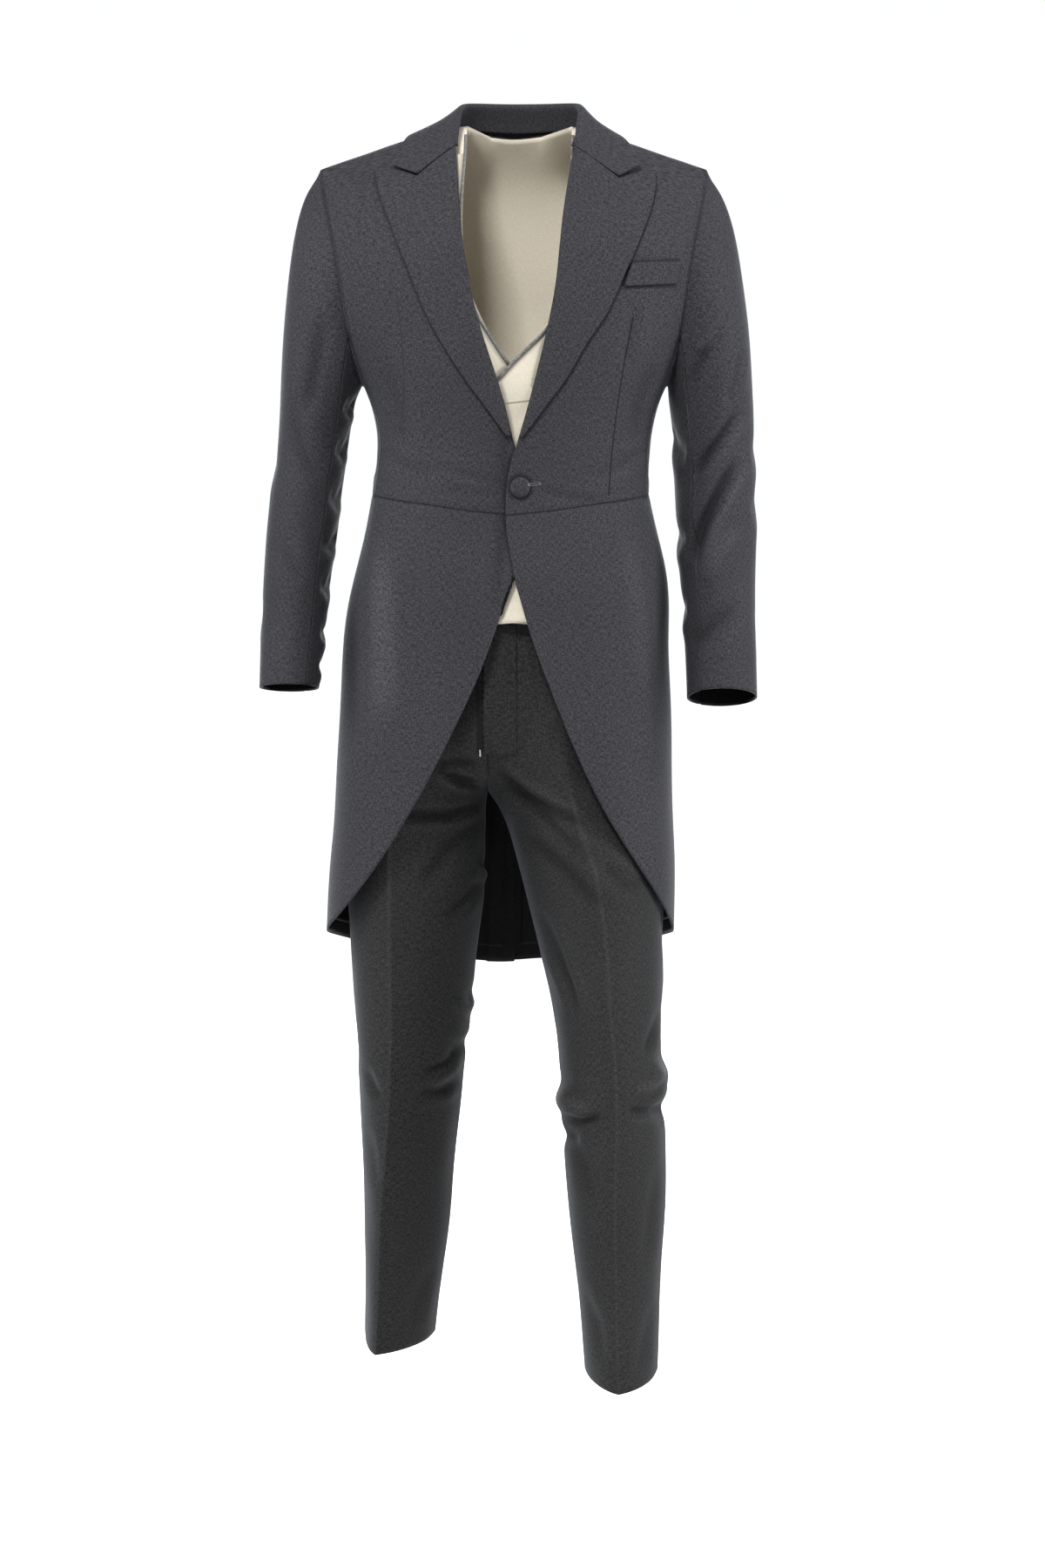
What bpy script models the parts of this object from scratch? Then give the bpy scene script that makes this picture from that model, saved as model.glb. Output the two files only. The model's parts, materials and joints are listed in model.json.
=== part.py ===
"""A three-piece morning suit as it is worn: a one-button cutaway coat with tails, a crossing
waistcoat with piped edges, and trousers with pressed creases.

Each cut piece is one thin closed wall. Metres, +X the wearer's left, -Y the front, +Z up, and the
origin at the base of the neck, on the line between the shoulders.

The coat and the waistcoat lie on one torso surface. A place on it is an angle round the body
(90 at the centre front, 0 at the side, -90 at the centre back, for each half of the body) and a
level, the drop below the neck. Above the chest the levels close up to the shoulder line.
"""

import math
from bisect import bisect_right

import bpy
from mathutils import Vector

MM = 0.001

# The driving sizes of the suit.
SHOULDER_REACH = 217 * MM
CHEST_DROP = 155 * MM
TAIL_DROP = 966 * MM
TROUSER_TOP_DROP = 435 * MM
HEM_DROP = 1393 * MM

# Wall thicknesses, and the gap left at every seam.
COAT_WALL = 2.0 * MM
LAPEL_WALL = 2.2 * MM
WAISTCOAT_WALL = 1.5 * MM
TROUSER_WALL = 1.5 * MM
LINING_WALL = 1.0 * MM
WELT_WALL = 1.5 * MM
SEAM_PULL = 0.2 * MM

# How far each layer lies outside the torso surface, or inside it where negative.
LAPEL_LIFT = 3.4 * MM
FRONT_LAP = 3.0 * MM
WELT_LIFT = 2.0 * MM
LINING_LIFT = -2.7 * MM
WAISTCOAT_LIFT = -6.0 * MM
UNDER_WAISTCOAT_LIFT = -10.8 * MM
PIPING_RISE = 1.6 * MM
PIPING_WALL = 1.2 * MM

LEFT, RIGHT = 1, -1
SIDE_NAMES = {LEFT: "left", RIGHT: "right"}

CHARCOAL = ("charcoal_worsted", (0.052, 0.052, 0.058), 0.85)
TROUSER_CLOTH = ("trouser_worsted", (0.030, 0.030, 0.033), 0.85)
CREAM = ("cream_cloth", (0.82, 0.76, 0.61), 0.8)
PIPING_GREY = ("piping_grey", (0.19, 0.18, 0.17), 0.7)
LINING_BLACK = ("lining_black", (0.012, 0.012, 0.014), 0.45)


# Reading sizes from tables

def smooth_value(keys, values, at):
    """The value at one key, on a smooth curve through the rows that never overshoots them."""
    at = min(max(at, keys[0]), keys[-1])
    low = min(bisect_right(keys, at) - 1, len(keys) - 2)
    steps = [(values[i + 1] - values[i]) / (keys[i + 1] - keys[i]) for i in range(len(keys) - 1)]

    def slope(row):
        before = steps[max(row - 1, 0)]
        after = steps[min(row, len(steps) - 1)]
        return 2 * before * after / (before + after) if before * after > 0 else 0.0

    width = keys[low + 1] - keys[low]
    t = (at - keys[low]) / width
    start, end = slope(low) * width, slope(low + 1) * width
    return (
        (2 * t**3 - 3 * t**2 + 1) * values[low]
        + (t**3 - 2 * t**2 + t) * start
        + (3 * t**2 - 2 * t**3) * values[low + 1]
        + (t**3 - t**2) * end
    )


class SizeTable:
    """Named columns of sizes in millimetres or degrees, read by the first column."""

    def __init__(self, columns, rows):
        self.keys = [row[0] for row in rows]
        self.values = {name: [row[i] for row in rows] for i, name in enumerate(columns)}

    def at(self, key, column):
        return smooth_value(self.keys, self.values[column], key)

    def metres(self, key, column):
        """The size in metres at a key in metres."""
        return self.at(key / MM, column) * MM


def ease(value, start, end):
    """0 before start, 1 after end, and a soft turn between."""
    t = min(max((value - start) / (end - start), 0.0), 1.0)
    return t * t * (3 - 2 * t)


# The torso surface

TORSO = SizeTable(
    ("drop", "centre", "half_width", "front", "back"),
    (
        (155, 0.0, 214.0, 122, 118),
        (190, 0.5, 208.0, 127, 122),
        (220, 1.0, 200.0, 130, 122),
        (250, 1.0, 188.0, 131, 120),
        (288, 1.5, 168.5, 130, 115),
        (308, 1.5, 161.5, 128, 110),
        (347, 0.5, 155.5, 123, 102),
        (406, -3.5, 159.5, 120, 98),
        (446, -3.0, 168.0, 124, 104),
        (486, -2.5, 178.5, 129, 114),
        (525, -6.0, 186.0, 132, 122),
        (565, -9.5, 187.5, 134, 128),
        (625, -9.0, 190.0, 137, 136),
        (685, -10.0, 193.0, 140, 142),
        (765, -11.5, 195.5, 144, 148),
        (845, -13.5, 201.5, 150, 154),
        (905, -16.0, 202.0, 152, 158),
        (970, -17.0, 204.0, 153, 161),
    ),
)
SQUARENESS = 2.35

SHOULDER_LINE = SizeTable(
    ("out", "height"), ((0, 14), (60, 13), (90, 6), (115, -3), (150, -15), (217, -38))
)
SHOULDER_LINE_Y = 12 * MM
FRONT_ROUNDING = 1.6
BACK_ROUNDING = 2.6


def shoulder_height(x):
    return SHOULDER_LINE.metres(abs(x), "height")


def section_point(drop, angle):
    """The torso's outline at one drop, by the angle from +X round to the front."""
    half_width = TORSO.metres(drop, "half_width")
    depth = TORSO.metres(drop, "front" if math.sin(angle) > 0 else "back")
    across, ahead = math.cos(angle), math.sin(angle)
    reach = (abs(across / half_width) ** SQUARENESS + abs(ahead / depth) ** SQUARENESS) ** (
        -1 / SQUARENESS
    )
    return TORSO.metres(drop, "centre") + reach * across, -reach * ahead


def world_angle(side, angle):
    return math.radians(angle if side == LEFT else 180 - angle)


def torso_spot(side, angle, level):
    """The point of the torso surface at an angle (degrees) and a level (metres)."""
    turned = world_angle(side, angle)
    if level >= CHEST_DROP:
        x, y = section_point(level, turned)
        return Vector((x, y, -level))
    share = 1 - max(level, 0.0) / CHEST_DROP
    x, y = section_point(CHEST_DROP, turned)
    x *= 1 + (SHOULDER_REACH / TORSO.metres(CHEST_DROP, "half_width") - 1) * share
    rounding = FRONT_ROUNDING if math.sin(turned) > 0 else BACK_ROUNDING
    y = SHOULDER_LINE_Y + (y - SHOULDER_LINE_Y) * (1 - share**rounding) ** (1 / rounding)
    return Vector((x, y, -CHEST_DROP + share * (shoulder_height(x) + CHEST_DROP)))


RIDGE_BLEND = 9 * MM
NORMAL_STEP_ANGLE, NORMAL_STEP_LEVEL = 0.6, 0.8 * MM


def torso_normal(side, angle, level):
    """The outward direction of the torso surface, straight up out of the shoulder line at its top."""
    step_angle, step_level = NORMAL_STEP_ANGLE, NORMAL_STEP_LEVEL
    if level < RIDGE_BLEND:
        x = torso_spot(side, angle, 0.0).x
        rise = shoulder_height(x + MM) - shoulder_height(x - MM)
        upward = Vector((-rise, 0, 2 * MM)).normalized()
        return upward.lerp(torso_normal(side, angle, RIDGE_BLEND), level / RIDGE_BLEND).normalized()
    across = torso_spot(side, angle + step_angle, level) - torso_spot(side, angle - step_angle, level)
    down = torso_spot(side, angle, level + step_level) - torso_spot(side, angle, level - step_level)
    normal = across.cross(down) * side
    return normal.normalized()


def torso_point(side, angle, level, lift=0.0):
    return torso_spot(side, angle, level) + torso_normal(side, angle, level) * lift


def place_on_torso(side, x, z, facing="front"):
    """The (angle, level) of the torso point seen at x and z from the front or from the back."""
    level = -z
    share = 0.0
    if level < CHEST_DROP:
        share = min((z + CHEST_DROP) / (shoulder_height(x) + CHEST_DROP), 1.0)
        x /= 1 + (SHOULDER_REACH / TORSO.metres(CHEST_DROP, "half_width") - 1) * share
        level = CHEST_DROP * (1 - share)
    drop = max(level, CHEST_DROP)
    across = x - TORSO.metres(drop, "centre")
    depth = TORSO.metres(drop, facing)
    part = min(abs(across) / TORSO.metres(drop, "half_width"), 1.0)
    y = depth * (1 - part**SQUARENESS) ** (1 / SQUARENESS)
    angle = math.degrees(math.atan2(y if facing == "front" else -y, across * side))
    return (angle + 360 if angle < -135 else angle), level


def places_on_torso(side, points, facing="front"):
    """The same for a list of (x, z) in millimetres."""
    return [place_on_torso(side, x * MM, z * MM, facing) for x, z in points]


# Grids and walls

DEGREE_LENGTH = 2.6 * MM


def spread(points, cells):
    """cells + 1 places at even steps along a line of (angle, level) places."""
    lengths = [0.0]
    for before, after in zip(points, points[1:]):
        lengths.append(
            lengths[-1]
            + math.hypot((after[0] - before[0]) * DEGREE_LENGTH, after[1] - before[1])
        )
    spots = []
    for step in range(cells + 1):
        at = lengths[-1] * step / cells
        low = min(bisect_right(lengths, at) - 1, len(lengths) - 2)
        part = (at - lengths[low]) / (lengths[low + 1] - lengths[low])
        spots.append(
            tuple(a + (b - a) * part for a, b in zip(points[low], points[low + 1]))
        )
    return spots


def joined(*runs):
    """Runs of places end to end, each shared end kept once."""
    whole = list(runs[0])
    for run in runs[1:]:
        whole.extend(run[1:])
    return whole


def filled(top, bottom, first, last):
    """A grid of places between four edges: top and bottom run across, first and last run down."""
    across, down = len(top) - 1, len(first) - 1
    rows = []
    for r in range(down + 1):
        v = r / down
        row = []
        for c in range(across + 1):
            u = c / across
            row.append(
                tuple(
                    (1 - v) * top[c][k]
                    + v * bottom[c][k]
                    + (1 - u) * first[r][k]
                    + u * last[r][k]
                    - (1 - u) * (1 - v) * top[0][k]
                    - u * (1 - v) * top[-1][k]
                    - (1 - u) * v * bottom[0][k]
                    - u * v * bottom[-1][k]
                    for k in range(2)
                )
            )
        rows.append(row)
    return rows


def drawn_in(grid, round_it=False, amount=SEAM_PULL):
    """The grid with its outer rows and columns pulled in by the seam's share of the gap."""
    rows = [list(row) for row in grid]

    def pull(edge, inward):
        step = inward - edge
        return edge + step * min(amount / max(step.length, 1e-9), 0.5)

    if not round_it:
        for row in rows:
            row[0], row[-1] = pull(row[0], row[1]), pull(row[-1], row[-2])
    for edge, inward in ((0, 1), (-1, -2)):
        rows[edge] = [pull(a, b) for a, b in zip(rows[edge], rows[inward])]
    return rows


def make_wall(name, outer, inner, finish, round_it=False):
    """One closed wall between two grids of points, rows down and columns across."""
    rows, columns = len(outer), len(outer[0])
    points = [point for grid in (outer, inner) for row in grid for point in row]
    inside = rows * columns

    def at(layer, r, c):
        return layer * inside + r * columns + c % columns

    steps = columns if round_it else columns - 1
    faces = []
    for r in range(rows - 1):
        for c in range(steps):
            faces.append((at(0, r, c), at(0, r + 1, c), at(0, r + 1, c + 1), at(0, r, c + 1)))
            faces.append((at(1, r, c), at(1, r, c + 1), at(1, r + 1, c + 1), at(1, r + 1, c)))
    for c in range(steps):
        faces.append((at(0, 0, c), at(0, 0, c + 1), at(1, 0, c + 1), at(1, 0, c)))
        last = rows - 1
        faces.append((at(0, last, c), at(1, last, c), at(1, last, c + 1), at(0, last, c + 1)))
    if not round_it:
        for r in range(rows - 1):
            faces.append((at(0, r, 0), at(1, r, 0), at(1, r + 1, 0), at(0, r + 1, 0)))
            last = columns - 1
            faces.append((at(0, r, last), at(0, r + 1, last), at(1, r + 1, last), at(1, r, last)))
    mesh = bpy.data.meshes.new(name)
    mesh.from_pydata([tuple(point) for point in points], [], faces)
    volume = sum(
        Vector(points[f[0]]).dot(Vector(points[f[k]]).cross(Vector(points[f[k + 1]])))
        for f in faces
        for k in range(1, len(f) - 1)
    )
    if volume < 0:
        mesh.flip_normals()
    return add_object(name, mesh, finish)


def add_object(name, mesh, finish):
    mesh.shade_smooth()
    mesh.set_sharp_from_angle(angle=math.radians(50))
    mesh.materials.append(own_material(name, *finish))
    made = bpy.data.objects.new(name, mesh)
    bpy.context.collection.objects.link(made)
    return made


def own_material(piece, cloth, colour, roughness):
    made = bpy.data.materials.new(f"{piece}_{cloth}")
    made.use_nodes = True
    shader = made.node_tree.nodes["Principled BSDF"]
    shader.inputs["Base Color"].default_value = (*colour, 1)
    shader.inputs["Roughness"].default_value = roughness
    shader.inputs["Metallic"].default_value = 0.0
    made.diffuse_color = (*colour, 1)
    return made


def torso_wall(name, side, places, finish, wall=COAT_WALL, lift=None):
    """A wall on the torso surface. lift(angle, level, u, v) moves its outer face out."""
    outer, inner = [], []
    for r, row in enumerate(places):
        outer_row, inner_row = [], []
        for c, (angle, level) in enumerate(row):
            out = lift(angle, level, c / (len(row) - 1), r / (len(places) - 1)) if lift else 0.0
            normal = torso_normal(side, angle, level)
            spot = torso_spot(side, angle, level)
            outer_row.append(spot + normal * out)
            inner_row.append(spot + normal * (out - wall))
        outer.append(outer_row)
        inner.append(inner_row)
    return make_wall(name, drawn_in(outer), drawn_in(inner), finish)


# The coat's seams and edges, as seen from the front (x, z) or by angle and level

ARMHOLE = SizeTable(
    ("turn", "angle", "level"),
    (
        (0, 0, 0),
        (22, 6.5, 35),
        (45, 12, 80),
        (68, 15.5, 125),
        (90, 17.5, 165),
        (113, 18, 205),
        (135, 16.5, 240),
        (158, 9.5, 270),
        (180, 0, 285),
        (202, -9, 272),
        (225, -18, 243),
        (247, -24, 205),
        (270, -26, 165),
        (292, -25, 125),
        (315, -20, 82),
        (338, -11, 38),
        (360, 0, 0),
    ),
)
FRONT_SEAM_TURN = 150
BACK_SEAM_TURN = 235
SHOULDER_TIP = (0.0, 0.0)

# Cells along the seams that two panels share, so that their points meet.
FRONT_CELLS = 8
SIDE_CELLS = 5
PLEAT_CELLS = 12

# The roll line of each lapel and the front edge below it, then the cutaway edge.
ROLL_LINE = {
    LEFT: (
        (86, 8), (74, 0), (67, -18), (62, -45), (56, -78), (51, -117), (49, -155), (43, -193),
        (37.7, -212), (30, -250), (20, -288), (14.8, -307), (5, -340),
    ),
    RIGHT: (
        (-78, 10), (-69, 0), (-64, -18), (-62, -48), (-59, -97), (-54, -136), (-51, -155),
        (-47, -174), (-38.7, -212), (-25.4, -250), (-13, -288), (-7.2, -307), (-1.5, -340),
    ),
}
FRONT_EDGE = {
    LEFT: ((5, -340), (-3.5, -366), (-7.3, -385), (-9.2, -413), (-8.8, -424.5)),
    RIGHT: ((-1.5, -340), (6, -362), (10, -385), (12, -413), (12, -424.5)),
}
SKIRT_EDGE = {
    LEFT: ((-8.8, -424.5), (-7.3, -443), (-3.5, -465), (2.3, -496)),
    RIGHT: ((12, -424.5), (11, -450), (6, -478), (-3, -496)),
}
CUTAWAY = {
    LEFT: (
        (2.3, -496), (8, -516), (20.6, -564), (32, -591), (45.7, -629), (62, -668), (84.5, -720),
        (97, -742), (113, -774), (130, -802), (147, -826), (160, -847), (171, -865), (181, -886),
    ),
    RIGHT: (
        (-3, -496), (-10, -522), (-16, -543), (-25.6, -570), (-35, -597), (-52, -629), (-66, -659),
        (-82, -692), (-101, -729), (-119, -760), (-137, -789), (-155, -816), (-173, -848),
        (-200, -877), (-213, -894),
    ),
}
HEM_CORNER = (3.0, 0.903)
PLEAT_HEM = (-61.0, 0.958)
TAIL_HEM = ((-61.0, 0.958), (-75.0, 0.962), (-90.0, TAIL_DROP), (-96.0, TAIL_DROP))
HEM_SIDE = (HEM_CORNER, (-20.0, 0.920), (-40.0, 0.941), PLEAT_HEM)

WAIST_FRONT = ((67.0, 0.419), (48.0, 0.412), (30.0, 0.408), (14.0, 0.404))
WAIST_SIDE = ((14.0, 0.404), (0.0, 0.403), (-30.0, 0.405), (-64.0, 0.410))
FRONT_SIDE_SEAM = ((14.0, 0.330), (14.0, 0.404))
SIDE_BACK_SEAM = ((-38.0, 0.285), (-52.0, 0.340), (-64.0, 0.410))
PLEAT_LINE = ((-64.0, 0.410), (-63.0, 0.500), (-62.0, 0.700), PLEAT_HEM)
BACK_NECK = ((-90.0, 0.0128), (-75.0, 0.0100), (-62.0, 0.0040))
CENTRE_BACK = ((-90.0, 0.0128), (-90.0, 0.430), (-96.0, 0.460), (-96.0, TAIL_DROP))


def armhole_run(start, end, cells):
    """Places along the armhole between two turns."""
    turns = [start + (end - start) * i / cells for i in range(cells + 1)]
    return [(ARMHOLE.at(turn, "angle"), ARMHOLE.at(turn, "level") * MM) for turn in turns]


# Where the laps of the fronts and of the vent ease in and out, by angle and by level.
LAP_ANGLES, LAP_TOP, LAP_FOOT = (62, 78), (0.285, 0.325), (0.50, 0.60)
VENT_ANGLES, VENT_TOP = (66, 80), (0.37, 0.425)


def front_lap_lift(side, angle, level):
    """How far the wearer's left front stands out where it laps over the right one."""
    if side == RIGHT:
        return 0.0
    return (
        FRONT_LAP * ease(angle, *LAP_ANGLES) * ease(level, *LAP_TOP) * (1 - ease(level, *LAP_FOOT))
    )


def vent_lift(side, angle, level):
    """How far the left tail stands out where it laps over the right one."""
    if side == RIGHT:
        return 0.0
    return FRONT_LAP * ease(-angle, *VENT_ANGLES) * ease(level, *VENT_TOP)


def build_coat_front(side):
    roll = places_on_torso(side, ROLL_LINE[side])
    roll[0] = (roll[0][0], 0.0)
    edge = places_on_torso(side, FRONT_EDGE[side])
    side_top = armhole_run(0, FRONT_SEAM_TURN, 8)
    first = joined(spread(roll, 10), spread(edge, 4))
    last = joined(side_top, spread([side_top[-1], *FRONT_SIDE_SEAM], 6))
    top = spread([first[0], SHOULDER_TIP], FRONT_CELLS)
    bottom = spread([first[-1], *WAIST_FRONT], FRONT_CELLS)
    places = filled(top, bottom, first, last)

    def lift(angle, level, _u, _v):
        return front_lap_lift(side, angle, level)

    torso_wall(f"coat_front_{SIDE_NAMES[side]}", side, places, CHARCOAL, lift=lift)


def build_coat_side(side):
    top = armhole_run(FRONT_SEAM_TURN, BACK_SEAM_TURN, SIDE_CELLS)
    first = spread([top[0], *FRONT_SIDE_SEAM], 6)
    last = spread([top[-1], *SIDE_BACK_SEAM], 6)
    bottom = spread(WAIST_SIDE, SIDE_CELLS)
    torso_wall(f"coat_side_{SIDE_NAMES[side]}", side, filled(top, bottom, first, last), CHARCOAL)


def coat_back_places(side):
    neck_point = (shoulder_neck_angle(side, "back"), 0.0)
    centre = joined(
        spread(CENTRE_BACK[:2], 13), spread(CENTRE_BACK[1:3], 1), spread(CENTRE_BACK[2:], 11)
    )
    armhole = armhole_run(360, BACK_SEAM_TURN, 7)
    outer_edge = joined(
        armhole, spread([armhole[-1], *SIDE_BACK_SEAM], 6), spread(PLEAT_LINE, PLEAT_CELLS)
    )
    top = joined(
        spread([*BACK_NECK, neck_point], 3), spread([neck_point, SHOULDER_TIP], 4)
    )
    bottom = list(reversed(spread(TAIL_HEM, 7)))
    return filled(top, bottom, centre, outer_edge)


def build_coat_back(side):
    def lift(angle, level, _u, _v):
        return vent_lift(side, angle, level)

    places = coat_back_places(side)
    torso_wall(f"coat_back_{SIDE_NAMES[side]}", side, places, CHARCOAL, lift=lift)


def shoulder_neck_angle(side, facing):
    """The angle of the neck end of the shoulder seam, seen from the front or the back."""
    x = ROLL_LINE[side][0][0] * MM
    return place_on_torso(side, x, shoulder_height(x), facing)[0]


def coat_skirt_places(side):
    front_edge = spread(places_on_torso(side, SKIRT_EDGE[side]), PLEAT_CELLS)
    cutaway = [front_edge[-1], *places_on_torso(side, CUTAWAY[side])[1:], HEM_CORNER]
    top = joined(
        spread([front_edge[0], *WAIST_FRONT], FRONT_CELLS), spread(WAIST_SIDE, SIDE_CELLS)
    )
    bottom = joined(spread(cutaway, FRONT_CELLS), spread(HEM_SIDE, SIDE_CELLS))
    return filled(top, bottom, front_edge, spread(PLEAT_LINE, PLEAT_CELLS))


def build_coat_skirt(side):
    def lift(angle, level, _u, _v):
        return front_lap_lift(side, angle, level)

    places = coat_skirt_places(side)
    torso_wall(f"coat_skirt_{SIDE_NAMES[side]}", side, places, CHARCOAL, lift=lift)


# Lapels, collar and breast welt

GORGE = {LEFT: ((67, -18), (116, -54.6)), RIGHT: ((-64, -18), (-106, -52))}
NOTCH = {LEFT: ((116, -54.6), (157, -40.5)), RIGHT: ((-106, -52), (-155, -36))}
LAPEL_EDGE = {
    LEFT: (
        (157, -40.5), (162, -48), (158, -63), (152, -86), (140, -119), (127, -149), (115, -175),
        (100, -209), (84, -227), (58, -274), (28, -312), (3, -345),
    ),
    RIGHT: (
        (-155, -36), (-152, -50), (-151, -63), (-143, -90), (-132, -108), (-129, -124), (-109, -171),
        (-95, -205), (-83, -227), (-57, -269), (-31, -303), (-3, -345),
    ),
}
LAPEL_FOOT = {LEFT: ((6.2, -335.5), (10.4, -336)), RIGHT: ((-2.2, -335.5), (-8, -336))}
ROLL_BULGE = SizeTable(("across", "lift"), ((0, 0.0), (20, 1.8), (45, 1.4), (70, 0.4), (100, 0.0)))


def build_lapel(side):
    roll = places_on_torso(side, [*ROLL_LINE[side][2:-1], LAPEL_FOOT[side][0]])
    outer_edge = places_on_torso(side, [*LAPEL_EDGE[side][:-1], LAPEL_FOOT[side][1]])
    gorge, notch = places_on_torso(side, GORGE[side]), places_on_torso(side, NOTCH[side])
    gorge[0], notch[-1] = roll[0], outer_edge[0]
    top = joined(spread(gorge, 3), spread(notch, 2))
    bottom = spread([roll[-1], outer_edge[-1]], 5)
    places = filled(top, bottom, spread(roll, 13), spread(outer_edge, 13))

    def lift(angle, level, u, _v):
        bulge = ROLL_BULGE.at(u * 100, "lift") * MM
        return LAPEL_LIFT + bulge + front_lap_lift(side, angle, level)

    torso_wall(f"coat_lapel_{SIDE_NAMES[side]}", side, places, CHARCOAL, LAPEL_WALL, lift)


# Stations of the collar from its front end round to the centre back. The fold is its highest
# line, the foot is sewn to the neck edge and the leaf edge lies on the shoulders.
COLLAR_COLUMNS = ("station", "left_x", "right_x", "y", "z")
COLLAR_FOLD = SizeTable(
    COLLAR_COLUMNS,
    (
        (0, 66, -63, -48, -14.6),
        (1, 72, -62.5, -22, 6),
        (2, 76, -60, 6, 30),
        (3, 73, -55, 32, 36),
        (4, 52, -34, 57, 38),
        (5, 10, 10, 67, 38),
    ),
)
COLLAR_FOOT = SizeTable(
    COLLAR_COLUMNS,
    (
        (0, 66, -63, -50, -12.4),
        (1, 74, -67, -20, 6),
        (2, 84, -75, 8, 13.5),
        (3, 80, -66, 37, 12),
        (4, 56, -42, 64, 7),
        (5, 10, 10, 72, 5),
    ),
)
COLLAR_EDGE = SizeTable(
    COLLAR_COLUMNS,
    (
        (0, 141, -136, -46, -37),
        (1, 134, -127, -25, -19),
        (2, 117, -115, 11, 1),
        (3, 104, -98, 50, 3),
        (4, 60, -52, 77, -4),
        (5, 5, 5, 87, -8),
    ),
)
FOLD_HALF_WIDTH, FOLD_SHOULDER = 3.2 * MM, 2.2 * MM
LEAF_SHARES = (0.34, 0.68)
LEAF_SAG, SAG_STATIONS = 3 * MM, (0.8, 2.2)
LAST_STATION, COLLAR_CELLS = 5, 9
COLLAR_FRONT_LEAF = {LEFT: ((85, -31.5), (115, -52.5)), RIGHT: ((-82, -31.5), (-105, -50))}


def collar_point(table, side, station):
    column = "left_x" if side == LEFT else "right_x"
    return Vector(
        (table.at(station, column) * MM, table.at(station, "y") * MM, table.at(station, "z") * MM)
    )


def collar_section(side, station):
    """The outer face across the collar at one station: up the stand, over the fold, down the leaf."""
    fold = collar_point(COLLAR_FOLD, side, station)
    foot = collar_point(COLLAR_FOOT, side, station)
    edge = collar_point(COLLAR_EDGE, side, station)
    outward = Vector((edge.x - fold.x, edge.y - fold.y, 0)).normalized()
    drop = Vector((0, 0, -FOLD_SHOULDER))
    section = [foot, foot.lerp(fold, 0.5), fold - outward * FOLD_HALF_WIDTH + drop, fold]
    leaf_top = fold + outward * FOLD_HALF_WIDTH + drop
    front_share = 1 - ease(station, 0.0, 1.0)
    sag = Vector((0, 0, -LEAF_SAG * ease(station, *SAG_STATIONS)))
    upper, lower = (leaf_top.lerp(edge, share) for share in LEAF_SHARES)
    leaf = [leaf_top, upper + sag, lower + sag / 2, edge]
    if front_share > 0:
        for index, (x, z) in zip((1, 2), COLLAR_FRONT_LEAF[side]):
            angle, level = place_on_torso(side, x * MM, z * MM)
            flat = torso_point(side, angle, level, LAPEL_LIFT)
            leaf[index] = leaf[index].lerp(flat, front_share)
    return section + leaf


def grid_offset(grid, amount):
    """The grid moved along its own normals; a positive amount follows down cross across."""
    rows, columns = len(grid), len(grid[0])
    moved = []
    for r in range(rows):
        row = []
        for c in range(columns):
            across = grid[r][min(c + 1, columns - 1)] - grid[r][max(c - 1, 0)]
            down = grid[min(r + 1, rows - 1)][c] - grid[max(r - 1, 0)][c]
            row.append(grid[r][c] + down.cross(across).normalized() * amount)
        moved.append(row)
    return moved


def build_collar():
    stations = [LAST_STATION * i / COLLAR_CELLS for i in range(COLLAR_CELLS + 1)]
    right = [collar_section(RIGHT, station) for station in stations]
    left = [collar_section(LEFT, station) for station in reversed(stations)]
    sections = right + left[1:]
    outer = [list(row) for row in zip(*sections)]
    inner = grid_offset(outer, -COAT_WALL)
    make_wall("coat_collar", drawn_in(outer), drawn_in(inner), CHARCOAL)


WELT_CORNERS = {"top": ((130.5, -146.5), (185, -143.9)), "bottom": ((122, -172.5), (180, -168.9))}


def build_breast_welt():
    top = spread(places_on_torso(LEFT, WELT_CORNERS["top"]), 4)
    bottom = spread(places_on_torso(LEFT, WELT_CORNERS["bottom"]), 4)
    places = filled(
        top, bottom, spread([top[0], bottom[0]], 2), spread([top[-1], bottom[-1]], 2)
    )
    torso_wall(
        "breast_welt", LEFT, places, CHARCOAL, WELT_WALL, lambda _a, _l, _u, _v: WELT_LIFT
    )


# Sleeves

SLEEVE_COLUMNS = ("drop", "out", "y", "half_width", "half_depth", "tilt")
SLEEVES = {
    RIGHT: SizeTable(
        SLEEVE_COLUMNS,
        (
            (302, 223, 8, 43.5, 69, 0),
            (350, 229, 12, 41.0, 66, 0),
            (430, 239, 8, 41.5, 61, 6),
            (500, 246, -7, 39.0, 56, 14),
            (570, 250.5, -29, 37.0, 52, 13),
            (621, 254, -43, 34.5, 49, 10),
        ),
    ),
    LEFT: SizeTable(
        SLEEVE_COLUMNS,
        (
            (302, 224.5, 8, 48.8, 69, 0),
            (350, 228.5, 12, 47.0, 66, 0),
            (430, 230, 8, 47.0, 61, 6),
            (500, 232, -7, 43.5, 56, 14),
            (570, 234.5, -31, 41.0, 52, 17),
            (631, 235, -52, 40.5, 49, 17),
        ),
    ),
}
SLEEVE_TOP_DROP = 302 * MM
CUFF_DROP = {LEFT: 631 * MM, RIGHT: 621 * MM}
CAP_ROWS = 6
ARM_ROWS = 13
FRONT_ARM_SEAM = 128
BACK_ARM_SEAM = 238
ARMHOLE_GAP = 0.8 * MM

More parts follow.
